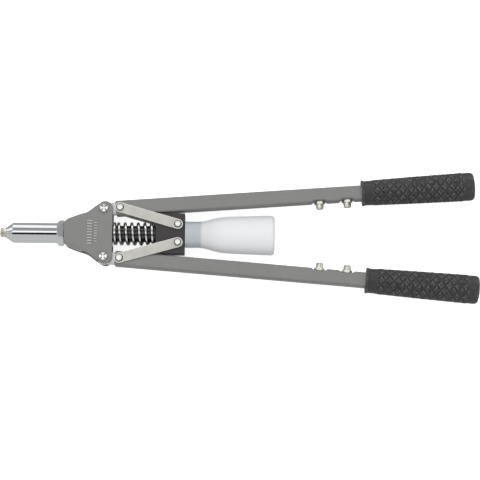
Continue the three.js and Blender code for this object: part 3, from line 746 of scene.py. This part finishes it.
def pivot_screw():
    """Pan head with a cross recess, and a shank whose end shows in the nut."""
    z = HEAD_SEAT_Z
    end = span("upper_pivot_screw", 2)[0]
    body = turned([
        (end, 0), (end, 2.3, 0.1), (end + 0.7, SCREW_SHANK_R, 0.1), (z, SCREW_SHANK_R),
        (z, SCREW_HEAD_R, 0.3),
        (z + 1.7, SCREW_HEAD_R, 0.6), (z + 2.35, SCREW_HEAD_R - 0.7, 0.7), (z + 2.5, 0),
    ], "Z")
    top = z + 2.5
    tools = []
    for turn in (math.pi / 4, -math.pi / 4):
        slot = prism([(-SCREW_HEAD_R + 0.2, top + 1), (-SCREW_HEAD_R + 0.2, top - 0.9),
                      (-1.5, top - 1.6), (1.5, top - 1.6), (SCREW_HEAD_R - 0.2, top - 0.9),
                      (SCREW_HEAD_R - 0.2, top + 1)], -0.58, 0.58, "Y")
        slot.data.transform(Matrix.Rotation(turn, 4, "Z"))
        tools.append(slot)
    return cut(body, *tools)


def chamfered_nut(across_flats, z0, z1, bore):
    corner = across_flats / math.sqrt(3)
    nut = common(
        prism(hexagon(across_flats, math.pi / 6), z0, z1),
        turned([(z0, 0), (z0, across_flats / 2 - 0.2), (z0 + 0.9, corner), (z1 - 0.9, corner),
                (z1, across_flats / 2 - 0.2), (z1, 0)], "Z"))
    return cut(softened(nut, 0.12, 2), rod(z0 - 1, z1 + 1, bore, "Z"))


for name in SIDES:
    low, high = span(f"{name}_pivot_nut", 2)
    detail(f"{name}_pivot_screw", pivot_screw(), AT_PIVOT[name], SCREW_ZINC, "frame", "zinc")
    detail(f"{name}_pivot_nut", chamfered_nut(NUT_FLATS, low, high, NUT_BORE_R),
           AT_PIVOT[name], ZINC, "frame", "zinc")
    bush = turned([(-EYE_HALF_Z, 3.1, 0.2), (-EYE_HALF_Z, 4.5, 0.4), (EYE_HALF_Z, 4.5, 0.4),
                   (EYE_HALF_Z, 3.1, 0.2)], "Z", closed=True)
    detail(f"{name}_pivot_bush", bush, AT_PIVOT[name], BRONZE, "frame", "bronze")

# ------------ head socket
SOCKET_HALF_Z = 9
SLEEVE_SLOT_X = -11  # the guide sleeve slides in the slot behind this


def head_socket():
    """Block between the plates that holds the frame head and guides the sleeve."""
    half = [(-43, 12), (-26, 18.6), (-19.5, 18.4), (-13.5, 16.2), (-8, 13.2),
            (PLATE_BACK_X - 0.3, 13.2)]
    body = softened(prism(half + [(x, -y) for x, y in half[::-1]], -SOCKET_HALF_Z, SOCKET_HALF_Z),
                    0.6)
    return cut(body, rod(PLATE_FRONT_X - 1, HEAD_BACK_X + 0.3, 8), rod(HEAD_BACK_X - 1, 0, 6),
               block(SLEEVE_SLOT_X, PLATE_BACK_X + 1, -9.2, 9.2, -10, 10))


detail("head_socket", head_socket(), TOOL, BARE_STEEL, "frame", "bare_steel")

# ------------ return spring and sleeve
SPRING_X0, SPRING_X1 = span("return_spring")
SPRING_R = 11.2
SPRING_WIRE_R = 1.65
SPRING_TURNS = 7
SPRING_START = -0.5
SLEEVE_FRONT_X = span("guide_sleeve")[0]
SLEEVE_R = 9
SLEEVE_BORE_R = 6.1
BLOCK_X0, BLOCK_X1 = span("joint_block")


def helix_point(u, x0, x1, r, turns, start):
    """A helix about X whose first and last turns close up."""
    pitch = (x1 - x0) / (turns - 1)
    rise = u * u / 2 if u < 1 else u - 0.5 - max(0, u - turns + 1) ** 2 / 2
    angle = start + TAU * u
    return Vector((x0 + pitch * rise, r * math.cos(angle), r * math.sin(angle)))


def coil(x0, x1, r, turns, start, wire_r, sides=16, steps=52):
    bm = bmesh.new()
    rings = []
    count = round(turns * steps)

    def at(u):
        return helix_point(u, x0 + wire_r, x1 - wire_r, r, turns, start)

    for i in range(count + 1):
        u = turns * i / count
        centre = at(u)
        tangent = (at(min(turns, u + 0.001)) - at(max(0, u - 0.001))).normalized()
        outward = Vector((0, centre.y, centre.z)).normalized()
        across = tangent.cross(outward).normalized()
        outward = across.cross(tangent)
        rings.append([bm.verts.new(centre + wire_r * (
            math.cos(TAU * k / sides) * outward + math.sin(TAU * k / sides) * across))
            for k in range(sides)])
    stitch(bm, rings)
    bm.faces.new(rings[0])
    bm.faces.new(rings[-1])
    return solid(bm)


spring = piece(
    "return_spring_wire",
    coil(SPRING_X0, SPRING_X1, SPRING_R, SPRING_TURNS, SPRING_START, SPRING_WIRE_R), TOOL,
    SPRING_STEEL, "frame", "black_steel", "return_spring")
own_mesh(spring)

sleeve = turned([
    (SLEEVE_FRONT_X, SLEEVE_BORE_R, 0.2), (SLEEVE_FRONT_X, SLEEVE_R, 0.8),
    (BLOCK_X0 - 0.3, SLEEVE_R, 0.2), (BLOCK_X0 - 0.3, 7.9), (BLOCK_X0 + 3.6, 7.9, 0.2),
    (BLOCK_X0 + 3.6, SLEEVE_BORE_R, 0.2)], closed=True)
detail("guide_sleeve", sleeve, TOOL, BLACK_STEEL, "pull_block", "black_steel")

# ------------ joint block
BLOCK_HALF_Y = span("joint_block", 1)[1]
BLOCK_HALF_Z = span("joint_block", 2)[1]
SLOT_PLAY = (2.64, 1.46)
SLOT_R = 2.4


def pin_slot(name):
    side = SIDES[name]
    pin = (BLOCK_PIN[name] - ORIGIN) / MM
    turn = side * math.degrees(math.atan2(SLOT_PLAY[1], SLOT_PLAY[0]))
    outline = arc(pin.x, pin.y, SLOT_R, turn + 90, turn + 270, 12)
    outline += arc(pin.x + SLOT_PLAY[0], pin.y + side * SLOT_PLAY[1], SLOT_R, turn - 90,
                   turn + 90, 12)
    return prism(outline, -10, 10)


def joint_block():
    outline = [(BLOCK_X1, -BLOCK_HALF_Y), (BLOCK_X1, BLOCK_HALF_Y),
               (BLOCK_X0 + 7, BLOCK_HALF_Y), (BLOCK_X0, BLOCK_HALF_Y - 3.5),
               (BLOCK_X0, 3.5 - BLOCK_HALF_Y), (BLOCK_X0 + 7, -BLOCK_HALF_Y)]
    body = softened(prism(outline, -BLOCK_HALF_Z, BLOCK_HALF_Z), 0.7, 4)
    return cut(body, rod(BLOCK_X0 - 1, BLOCK_X0 + 3.9, 8.2), rod(BLOCK_X0 - 1, 77.2, 6),
               rod(77, BLOCK_X1 + 1, 6.7), pin_slot("upper"), pin_slot("lower"))


detail("joint_block", joint_block(), TOOL, DARK_BLOCK, "pull_block", "dark_block")

# ------------ pull rod and jaw case
ROD_X0, ROD_X1 = span("pull_rod")
ROD_R = 5.8
ROD_FRONT_R = 5.2
MANDREL_BORE_R = 3.6
pull_rod = turned([
    (ROD_X0, MANDREL_BORE_R, 0.2), (ROD_X0, ROD_FRONT_R, 0.4), (-49, ROD_FRONT_R),
    (-48.4, ROD_R), (ROD_X1, ROD_R, 0.3), (ROD_X1, MANDREL_BORE_R, 0.2)], closed=True)
detail("pull_rod", pull_rod, TOOL, TOOL_STEEL, "pull_block", "tool_steel")

CASE_X0, CASE_X1 = span("jaw_case_head")
CASE_MOUTH_R = 4.6
CASE_R = 8.2
CASE_THREAD_R = 5.5
CONE_GROWTH = math.tan(math.radians(8))
case_head = turned([
    (CASE_X0, CASE_MOUTH_R, 0.2), (CASE_X0, 7.2, 0.2), (CASE_X0 + 1.2, CASE_R, 0.3),
    (CASE_X1, CASE_R, 0.2),
    (CASE_X1, CASE_MOUTH_R + (CASE_X1 - CASE_X0) * CONE_GROWTH, 0.1)], closed=True)
detail("jaw_case_head", case_head, TOOL, TOOL_STEEL, "pull_block", "tool_steel")
case_body = turned([
    (CASE_X1 + 0.3, 6.5), (CASE_X1 + 0.3, CASE_R, 0.2), (-53.5, CASE_R, 0.4),
    (-53.5, CASE_THREAD_R), (ROD_X0 - 0.3, CASE_THREAD_R), (ROD_X0 - 0.3, 6.5)], closed=True)
detail("jaw_case_body", case_body, TOOL, TOOL_STEEL, "pull_block", "tool_steel")
lock_nut = cut(softened(prism(hexagon(14.6), -53.1, -49.4, "X"), 0.3),
               rod(-54, -49, CASE_THREAD_R))
detail("jaw_case_lock_nut", lock_nut, TOOL, TOOL_STEEL, "pull_block", "tool_steel")

# ------------ jaws and their pusher
JAW_X0, JAW_X1 = span("jaw_1")
JAW_CLEARANCE = 0.35
JAW_HALF_ANGLE = math.radians(54)
JAW_TEETH = 10
PUSHER_X0, PUSHER_X1 = span("jaw_pusher")
PUSHER_SPRING_X0, PUSHER_SPRING_X1 = span("jaw_pusher_spring")


def cone_radius(x):
    return CASE_MOUTH_R + (x - CASE_X0) * CONE_GROWTH - JAW_CLEARANCE


def jaw(turn):
    """A third of a cone with teeth along its bore, for jaws set around the X axis."""
    pitch = (JAW_X1 - JAW_X0 - 0.6) / JAW_TEETH
    teeth = []
    for i in range(JAW_TEETH):
        x = JAW_X1 - 0.3 - i * pitch
        teeth += [(x, 1.75), (x - 0.75 * pitch, 2.15)]
    cone = turned([
        (JAW_X0, 1.75), (JAW_X0, cone_radius(JAW_X0), 0.3), (JAW_X1, cone_radius(JAW_X1), 0.3),
        (JAW_X1, 1.75), *teeth], closed=True)
    side_y = 20 * math.cos(JAW_HALF_ANGLE)
    side_z = 20 * math.sin(JAW_HALF_ANGLE)
    wedge = prism([(0, 0), (side_y, -side_z), (30, 0), (side_y, side_z)], JAW_X0 - 1, JAW_X1 + 1,
                  "X")
    body = common(cone, wedge)
    body.data.transform(Matrix.Rotation(turn, 4, "X"))
    return body


for i in range(3):
    jaw_name = f"jaw_{i + 1}"
    detail(jaw_name, jaw(i * TAU / 3), TOOL, TOOL_STEEL, jaw_name, "tool_steel")
pusher = turned([
    (PUSHER_X0, 2.3, 0.2), (PUSHER_X0, 4.4, 0.2), (PUSHER_X0 + 0.9, 5.9, 0.2),
    (PUSHER_SPRING_X0 - 0.1, 5.9, 0.2), (PUSHER_SPRING_X0 - 0.1, 3.3, 0.2), (PUSHER_X1, 3.3, 0.3),
    (PUSHER_X1, 2.3, 0.2)], closed=True)
detail("jaw_pusher", pusher, TOOL, TOOL_STEEL, "jaw_pusher", "tool_steel")
pusher_spring = piece(
    "jaw_pusher_spring_wire",
    coil(PUSHER_SPRING_X0, PUSHER_SPRING_X1, 4.4, 4.5, 0, 0.4, sides=10, steps=32), TOOL,
    BLACK_STEEL, "jaw_pusher", "black_steel", "jaw_pusher_spring")
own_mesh(pusher_spring)

# ------------ bottle and its adapter
ADAPTER_X0, ADAPTER_X1 = span("bottle_adapter")
ADAPTER_R = 12.35
ADAPTER_RIB_R = 12.8
ADAPTER_BORE_R = 4.6


def bottle_adapter():
    """Screwed-in spigot with a collar, and a ribbed neck that the bottle slips over."""
    ribs = []
    for x in (91.5, 95.2, 98.9):
        ribs += [(x, ADAPTER_R, 0.3), (x + 0.5, ADAPTER_RIB_R, 0.25),
                 (x + 1.5, ADAPTER_RIB_R, 0.25), (x + 2, ADAPTER_R, 0.3)]
    return turned([
        (ADAPTER_X0, ADAPTER_BORE_R, 0.2), (ADAPTER_X0, 6.5, 0.4), (BLOCK_X1 + 0.3, 6.5, 0.2),
        (BLOCK_X1 + 0.3, ADAPTER_RIB_R, 0.3), (BLOCK_X1 + 1.8, ADAPTER_RIB_R, 0.2),
        (BLOCK_X1 + 2.2, ADAPTER_R, 0.2), *ribs, (102.6, ADAPTER_R, 0.3), (103, 12.6, 0.2),
        (ADAPTER_X1, 11.8, 0.4), (ADAPTER_X1, 10.8, 0.3), (92.5, 10.8, 0.5),
        (89.5, ADAPTER_BORE_R, 0.5)], closed=True)


detail("bottle_adapter", bottle_adapter(), TOOL, ADAPTER_PLASTIC, "pull_block",
       "white_plastic")

BOTTLE_X0, BOTTLE_X1 = span("bottle")
BOTTLE_WALL = 1.2
BOTTLE_NECK_R = 14.3
BOTTLE_EDGE_R = 4
# outer radius: a straight neck, a shoulder, and a slightly tapering body
BOTTLE_SKIN = [(BOTTLE_X0, BOTTLE_NECK_R), (105.1, BOTTLE_NECK_R), (109, 14.9), (115.5, 16.6),
               (122, 18.4), (125.5, 19.0), (129, 19.5), (136, 20.1), (BOTTLE_X1, 21.85)]


def bottle():
    """Thin-walled bottle with a smooth shoulder, a round base edge and a pushed-in base."""
    edge_x = BOTTLE_X1 - BOTTLE_EDGE_R
    count = 44
    line = [BOTTLE_X0 + (edge_x - BOTTLE_X0) * i / count for i in range(count + 1)]
    smooth = [sum(interpolated(BOTTLE_SKIN, x + d) for d in (-3, -1.5, 0, 1.5, 3)) / 5
              for x in line]
    smooth[0] = BOTTLE_NECK_R
    skin = list(zip(line, smooth))
    skin += arc(edge_x, smooth[-1] - BOTTLE_EDGE_R, BOTTLE_EDGE_R, 90, 8, 8)[1:]
    skin += [(BOTTLE_X1, smooth[-1] - 5.2), (BOTTLE_X1, 14, 0.4), (BOTTLE_X1 - 1.1, 11.5, 0.6),
             (BOTTLE_X1 - 1.6, 0)]
    hollow = [(BOTTLE_X1 - 2.6, 0), (BOTTLE_X1 - 2.4, 11), (BOTTLE_X1 - 1.4, 14.2),
              (BOTTLE_X1 - 1.3, smooth[-1] - 5)]
    hollow += arc(edge_x, smooth[-1] - BOTTLE_EDGE_R, BOTTLE_EDGE_R - BOTTLE_WALL, 8, 90, 6)
    hollow += [(x, r - BOTTLE_WALL) for x, r in list(zip(line, smooth))[-2:0:-1]]
    hollow += [(BOTTLE_X0, BOTTLE_NECK_R - BOTTLE_WALL, 0.3)]
    return turned(hollow + [(BOTTLE_X0, BOTTLE_NECK_R, 0.3)] + skin[1:], segments=128)


piece("bottle_shell", bottle(), TOOL, BOTTLE_PLASTIC, "bottle", "bottle_plastic", "bottle")

# ------------ links and pins
LINK_Z0, LINK_Z1 = span("upper_link_front", 2)
PIN_HEAD_Z = LINK_Z1 + 0.05
LEVER_PIN_R = (3, 3.5, 4.4)  # radii of the shank, the head, and its counterbore in the link
BLOCK_PIN_R = (2.2, 3.25, 4.15)


def link():
    """Flat link with rounded ends, chamfered edges, and ends pressed a little thinner."""
    outline = arc(0, 0, LINK_R, 90, 270, 28) + arc(LINK_LENGTH, 0, LINK_R, -90, 90, 28)
    body = softened(prism(outline, LINK_Z0, LINK_Z1), 0.7, 2)
    tools = []
    for x, (shank, _, ring) in ((0, LEVER_PIN_R), (LINK_LENGTH, BLOCK_PIN_R)):
        tools.append(turned([(LINK_Z1 - 0.22, 0), (LINK_Z1 - 0.22, 6.1, 0.2),
                             (LINK_Z1 + 1, 6.4), (LINK_Z1 + 1, 0)], "Z", shift=(x, 0, 0)))
        tools.append(rod(LINK_Z1 - 1.6, LINK_Z1 + 1, ring, "Z", (x, 0, 0)))
        tools.append(rod(LINK_Z0 - 1, LINK_Z1 + 1, shank + 0.2, "Z", (x, 0, 0)))
    return cut(body, *tools)


def pin_shade_ring(radii):
    """Black ring seated round the pin's head in the link's counterbore: a dark piece put there as
    painted shade in the gap round the head.
    """
    _, head, ring = radii
    low, high = LINK_Z1 - 1.5, LINK_Z1 - 0.3
    return turned([(low, head + 0.04), (low, ring - 0.04), (high, ring - 0.04, 0.2),
                   (high, head + 0.04, 0.2)], "Z", closed=True)


def link_pin(radii):
    """Domed pin with a groove for its clip."""
    shank, head, _ = radii
    end = -PIN_HEAD_Z - 2.1
    seat = PIN_HEAD_Z - 1.5
    return turned([
        (end, 0), (end, shank - 0.4, 0.2), (end + 0.4, shank, 0.2), (end + 0.9, shank),
        (end + 0.9, shank - 0.6), (end + 2, shank - 0.6), (end + 2, shank), (seat, shank),
        (seat, head, 0.2), (seat + 2.75, head, 0.4), (seat + 3.15, head - 0.7, 0.5),
        (seat + 3.25, 0)], "Z")


def pin_clip(shank):
    outline = arc(0, 0, shank + 1.9, 26, 334, 48) + arc(0, 0, shank - 0.4, 334, 26, 40)
    return softened(prism(outline, -PIN_HEAD_Z - 1.1, -PIN_HEAD_Z - 0.3), 0.12, 2)


def pin_set(pin, radii, place, body):
    """A link pin with its black shade ring and its clip; the ring is painted shade round the head.
    """
    detail(pin, link_pin(radii), place, ZINC, body, "zinc")
    # The black ring stands for the shade in the gap round the pin's head.
    piece(f"{pin}_shade_ring", pin_shade_ring(radii), place, BLACK_STEEL, body, "black_steel")
    detail(f"{pin}_clip", pin_clip(radii[0]), place, BLACK_STEEL, body, "black_steel")


for name in SIDES:
    links = f"{name}_links"
    place = AT_LINK[name]
    detail(f"{name}_link_front", link(), place, NICKEL, links, "brushed_nickel")
    detail(f"{name}_link_rear", mirrored_z(link()), place, NICKEL, links, "brushed_nickel")
    pin_set(f"{name}_block_pin", BLOCK_PIN_R,
            place @ Matrix.Translation((LINK_LENGTH * MM, 0, 0)), links)

# ------------ levers
TUBE_Y = 8
TUBE_Z = 9
TUBE_WALL = 1.5
TUBE_START = 12.3
SPARES = (234.7, 264.8)
GRIP_LENGTH = 123.6
GRIP_START = {"upper": 281.2, "lower": 285.8}
DENT_HALF = 9.5
DENT_DEPTH = 2
EYE_R = 6.9
HEAD_BAR_END = 62
LEVER_PIN_HOLE_R = 3.2


def dent(s):
    """How far the inner wall is pressed in at a place along the lever."""
    depth = 0
    for place in SPARES:
        reach = abs(s - place)
        if reach < DENT_HALF:
            share = min(1, (DENT_HALF - reach) / 4.2)
            depth = DENT_DEPTH * (3 * share ** 2 - 2 * share ** 3)
    return depth


def lever_tube(name):
    """Rounded box tube; its inner wall is pressed in round each spare nosepiece."""
    inward = -SIDES[name]
    end = GRIP_START[name] + GRIP_LENGTH - 6.8
    stations = [TUBE_START, TUBE_START + 4]
    x = TUBE_START + 4
    while x < end - 3:
        near = any(abs(x - place) < DENT_HALF + 2 for place in SPARES)
        x += 0.7 if near else 4
        stations.append(x)
    stations[-1] = end
    outer = rounded_rect(TUBE_Y, TUBE_Z, 2.4, 8)
    inner = rounded_rect(TUBE_Y - TUBE_WALL, TUBE_Z - TUBE_WALL, 0.9, 4)
    bm = bmesh.new()

    def ring(outline, s, half):
        made = []
        for y, z in outline:
            share = max(0, inward * y / half)
            made.append(bm.verts.new((s, y - inward * dent(s) * share, z)))
        return made

    def skin(outline, half):
        rings = [ring(outline, s, half) for s in stations]
        stitch(bm, rings)
        return rings

    outside = skin(outer, TUBE_Y)
    inside = skin(inner, TUBE_Y - TUBE_WALL)
    for k in (0, -1):
        loops = outside[k], inside[k]
        edges = [bm.edges.get((loop[i], loop[(i + 1) % len(loop)]))
                 for loop in loops for i in range(len(loop))]
        bmesh.ops.bridge_loops(bm, edges=edges)
    tube = solid(bm)
    middle_x = (TUBE_START + end + 20) / 2
    blank = prism([(x + middle_x, y) for x, y in rounded_rect(
        middle_x - TUBE_START, TUBE_Y + 0.5, 3.2, 8)], -TUBE_Z - 1, TUBE_Z + 1)
    tools = [rod(-12, 12, LEVER_PIN_HOLE_R, "Z", (LINK_ARM, 0, 0))]
    for place in SPARES:
        tools.append(rod(-4.6, 4.6, 4.3, "Y", (place, inward * TUBE_Y, 0)))
    return cut(common(tube, blank), *tools)


def lever_head():
    """Bar with the pivot eye, pushed into the front of the tube."""
    half_y = TUBE_Y - TUBE_WALL - 0.3
    half_z = TUBE_Z - TUBE_WALL - 0.3
    meet = math.degrees(math.asin(half_y / EYE_R))
    outline = arc(0, 0, EYE_R, meet, 360 - meet, 60)
    outline += [(HEAD_BAR_END, -half_y), (HEAD_BAR_END, half_y)]
    boss = turned([(-EYE_HALF_Z, 0), (-EYE_HALF_Z, 6.6, 0.3), (EYE_HALF_Z, 6.6, 0.3),
                   (EYE_HALF_Z, 0)], "Z")
    body = join(softened(prism(outline, -half_z, half_z), 0.35, 2), boss)
    return cut(body, rod(-10, 10, 4.7, "Z"),
               rod(-10, 10, LEVER_PIN_HOLE_R, "Z", (LINK_ARM, 0, 0)))


def spare_nosepiece(bore):
    """Points along +Y out of the wall; its hexagon sits in the dent."""
    seat = 0.3 - DENT_DEPTH
    top = 1.5
    tip = 6.8
    body = turned([(seat - 5.8, 0), (seat - 5.8, 3.6, 0.2), (seat - 5.3, 4, 0.2),
                   (seat + 0.5, 4), (seat + 0.5, 0)], "Y", 64)
    corner = 10.4 / math.sqrt(3)
    flange = common(
        prism(hexagon(10.4), seat, top, "Y"),
        turned([(seat, 0), (seat, 5.4), (seat + 0.5, corner), (top - 0.6, corner), (top, 5.1),
                (top, 0)], "Y", 96))
    nose = turned([(top - 0.5, 0), (top - 0.5, 4.2), (top + 3, 4.2, 0.2), (top + 3.3, 3.95, 0.2),
                   (6.1, 3.95, 0.3), (tip, 3.3, 0.3), (tip, 0)], "Y", 64)
    hole = turned([(-9, 0), (-9, bore), (5.9, bore), (tip, bore + 0.7), (8, bore + 0.7), (8, 0)],
                  "Y", 48)
    return cut(join(body, softened(flange, 0.1, 2), nose), hole)


# ------------ grips
GRIP_SKIN = [(0, 13.8), (0.5, 14.15), (2.2, 14.15), (2.9, 13.4), (12, 13.5), (60, 14.5),
             (112, 15.3), (118, 15.5), (121, 15), (122.9, 13.2), (GRIP_LENGTH, 8)]
PAD_PITCH = 9.2
PADS_ROUND = 8
PAD_HEIGHT = 1.15
PADS_FROM = 12
PADS_TO = 110.5
PAD_SEAT = 0.65  # depth of the band that the pads stand in
GRIP_MOUTH_R = 12.9
GRIP_END_WALL = 6.5


def smoothstep(low, high, value):
    share = min(1, max(0, (value - low) / (high - low)))
    return share * share * (3 - 2 * share)


def pad_zone(s):
    """1 along the band with pads, 0 outside it."""
    return smoothstep(PADS_FROM - 0.3, PADS_FROM + 0.5, s) * (
        1 - smoothstep(PADS_TO - 0.5, PADS_TO + 0.3, s))


def pad_height(s, angle):
    """Diamond pads between two families of crossing notches."""
    u = (s - PADS_FROM) / PAD_PITCH
    v = PADS_ROUND * angle / TAU
    to_notch = min(abs((u + sign * v + 0.5) % 1 - 0.5) for sign in (1, -1))
    return PAD_HEIGHT * smoothstep(0.05, 0.24, to_notch) * pad_zone(s)


def grip():
    rows = [0, 0.25, 0.5, 1.2, 2, 2.3, 2.7, 3, 3.6, 5, 7, 9, 11, 11.6]
    step = PAD_PITCH / 18
    s = PADS_FROM - 0.3
    while s < PADS_TO + 0.4:
        rows.append(s)
        s += step
    rows += [112.5, 114, 116, 117.4, 118.4, 119.4, 120.3, 121, 121.7, 122.3, 122.8, 123.2]
    sides = 144
    bm = bmesh.new()
    rings = []
    for s in rows:
        seat = interpolated(GRIP_SKIN, s) - PAD_SEAT * pad_zone(s)
        ring = []
        for k in range(sides):
            angle = TAU * k / sides
            reach = seat + pad_height(s, angle)
            ring.append(bm.verts.new((s, reach * math.cos(angle), reach * math.sin(angle))))
        rings.append(ring)
    stitch(bm, rings)
    front = circle(bm, 0, GRIP_MOUTH_R, sides)
    back = [circle(bm, x, r, sides) for x, r in ((GRIP_LENGTH, 9.5), (GRIP_LENGTH + 0.25, 5))]
    stitch(bm, [front, rings[0]])
    stitch(bm, [rings[-1], *back])
    bm.faces.new(front)
    bm.faces.new(back[1])
    body = solid(bm)
    bore = prism(rounded_rect(TUBE_Y + 0.3, TUBE_Z + 0.3, 2.6), -1,
                 GRIP_LENGTH - GRIP_END_WALL, "X")
    return cut(body, bore)


SPARE_BORES = {"upper": (1.3, 1.7), "lower": (2, 2.3)}
for name, side in SIDES.items():
    lever = f"{name}_lever"
    place = AT_LEVER[name]
    detail(f"{name}_lever_tube", lever_tube(name), place, GREY_PAINT, lever, "grey_paint")
    detail(f"{name}_lever_head", lever_head(), place, BARE_STEEL, lever, "bare_steel")
    detail(f"{name}_grip", grip(), place @ Matrix.Translation((GRIP_START[name] * MM, 0, 0)),
           GRIP_RUBBER, lever, "grip_rubber")
    pin_set(f"{name}_lever_pin", LEVER_PIN_R,
            place @ Matrix.Translation((LINK_ARM * MM, 0, 0)), lever)
    for i, (along, bore) in enumerate(zip(SPARES, SPARE_BORES[name]), 1):
        at_wall = place @ Matrix.Translation((along * MM, -side * TUBE_Y * MM, 0))
        if side > 0:
            at_wall = at_wall @ Matrix.Rotation(math.pi, 4, "Z")
        detail(f"{name}_spare_nosepiece_{i}", spare_nosepiece(bore), at_wall,
               NOSEPIECE_STEEL, lever, "nosepiece_steel")

# ------------ floor and studio
RAYS = ("camera", "diffuse", "glossy", "transmission", "volume_scatter", "shadow")


def board(name, corners, material, seen_by=RAYS):
    """A flat board, seen by all rays or only by some. A reflector is seen by glossy rays only."""
    bm = bmesh.new()
    bm.faces.new([bm.verts.new(corner) for corner in corners])
    obj = solid(bm, name)
    obj.data.materials.append(material)
    for ray in RAYS:
        setattr(obj, f"visible_{ray}", ray in seen_by)


def card_material(name, brightness):
    """Reflector cloth with a faint unevenness."""
    material = bpy.data.materials.new(name)
    material.use_nodes = True
    tree = material.node_tree
    tree.nodes.remove(tree.nodes["Principled BSDF"])
    cloth = noise(tree, object_coords(tree), 1.5, 2)
    shade = ramp(tree, cloth, [(0.3, (0.94,) * 3), (0.7, (1, 1, 1))])
    light = add_node(tree, "ShaderNodeEmission", {"Color": shade, "Strength": brightness})
    output = tree.nodes["Material Output"]
    tree.links.new(light.outputs[0], output.inputs["Surface"])
    return material


def level(x0, x1, y0, y1, z):
    return [(x0, y0, z), (x1, y0, z), (x1, y1, z), (x0, y1, z)]


def long_card(name, from_angle, to_angle, brightness, from_x=-30, to_x=30, distance=3.3):
    """A card along X over the tool, between two angles from the zenith towards +Y."""
    ends = [(distance * math.sin(math.radians(a)), distance * math.cos(math.radians(a)))
            for a in (from_angle, to_angle)]
    (y0, z0), (y1, z1) = ends
    corners = [(from_x, y0, z0), (to_x, y0, z0), (to_x, y1, z1), (from_x, y1, z1)]
    board(name, corners, card_material(name, brightness), seen_by=("glossy",))


paper = surface("paper", (0.85, 0.85, 0.85), vary=0.004, grain=60, rough=(0.8, 0.85),
                peel=(300, 1e-5), Emission_Color=(1, 1, 1, 1), Emission_Strength=0.75)
board("floor", level(-40, 40, -40, 40, -0.0003), paper,
      seen_by=("camera", "glossy", "transmission", "shadow"))
board("floor_bounce", level(-40, 40, -40, 40, -0.0004), card_material("floor_bounce", 0.22),
      seen_by=("diffuse",))
board("floor_flag_back", level(-3, 3, 0, 3, 0.0003), card_material("floor_flag_back", 0.42),
      seen_by=("glossy",))
board("floor_flag_front", level(-3, 3, -3, 0, 0.0003), card_material("floor_flag_front", 0.6),
      seen_by=("glossy",))
long_card("front_card", -88, -26.5, 0.62)
long_card("dark_flag", -26.5, -5, 0.02)
long_card("bright_card_top", -5, 16.5, 1.2)
long_card("grey_card", 16.5, 53, 0.37)
long_card("bright_card_side", 53, 88, 1.25)
long_card("cross_flag", -20, 32, 0.04, from_x=1.3, to_x=2.3, distance=3.1)

world = bpy.data.worlds.new("studio")
bpy.context.scene.world = world
world.use_nodes = True
world.node_tree.nodes["Background"].inputs["Color"].default_value = (1, 1, 1, 1)
world.node_tree.nodes["Background"].inputs["Strength"].default_value = 0.5


def softbox(name, size, place, power):
    light = bpy.data.lights.new(name, "AREA")
    light.shape = "RECTANGLE"
    light.size, light.size_y = size
    light.energy = power
    obj = bpy.data.objects.new(name, light)
    bpy.context.scene.collection.objects.link(obj)
    obj.location = place
    obj.rotation_euler = (-Vector(place)).to_track_quat("-Z", "Y").to_euler()
    obj.visible_glossy = False


softbox("key", (3.0, 1.6), (-0.3, 1.0, 2.6), 38)
softbox("fill", (3.0, 1.6), (0.4, -1.7, 2.3), 14)

# ------------ camera
LENS = 150
SENSOR = 36
ELEVATION = math.radians(81.5)
ROLL = math.radians(0.65)
DISTANCE = 2.18
TARGET = Vector((0.0002, -0.0052, 0.02175))

camera_data = bpy.data.cameras.new("camera")
camera_data.lens = LENS
camera_data.sensor_width = SENSOR
camera_data.clip_end = 100
camera = bpy.data.objects.new("camera", camera_data)
bpy.context.scene.collection.objects.link(camera)
bpy.context.scene.camera = camera
towards = Vector((0, -math.cos(ELEVATION), math.sin(ELEVATION)))
camera.matrix_world = (
    Matrix.Translation(TARGET + DISTANCE * towards)
    @ Matrix.Rotation(math.pi / 2 - ELEVATION, 4, "X") @ Matrix.Rotation(ROLL, 4, "Z"))

bpy.context.scene.view_settings.view_transform = "Standard"
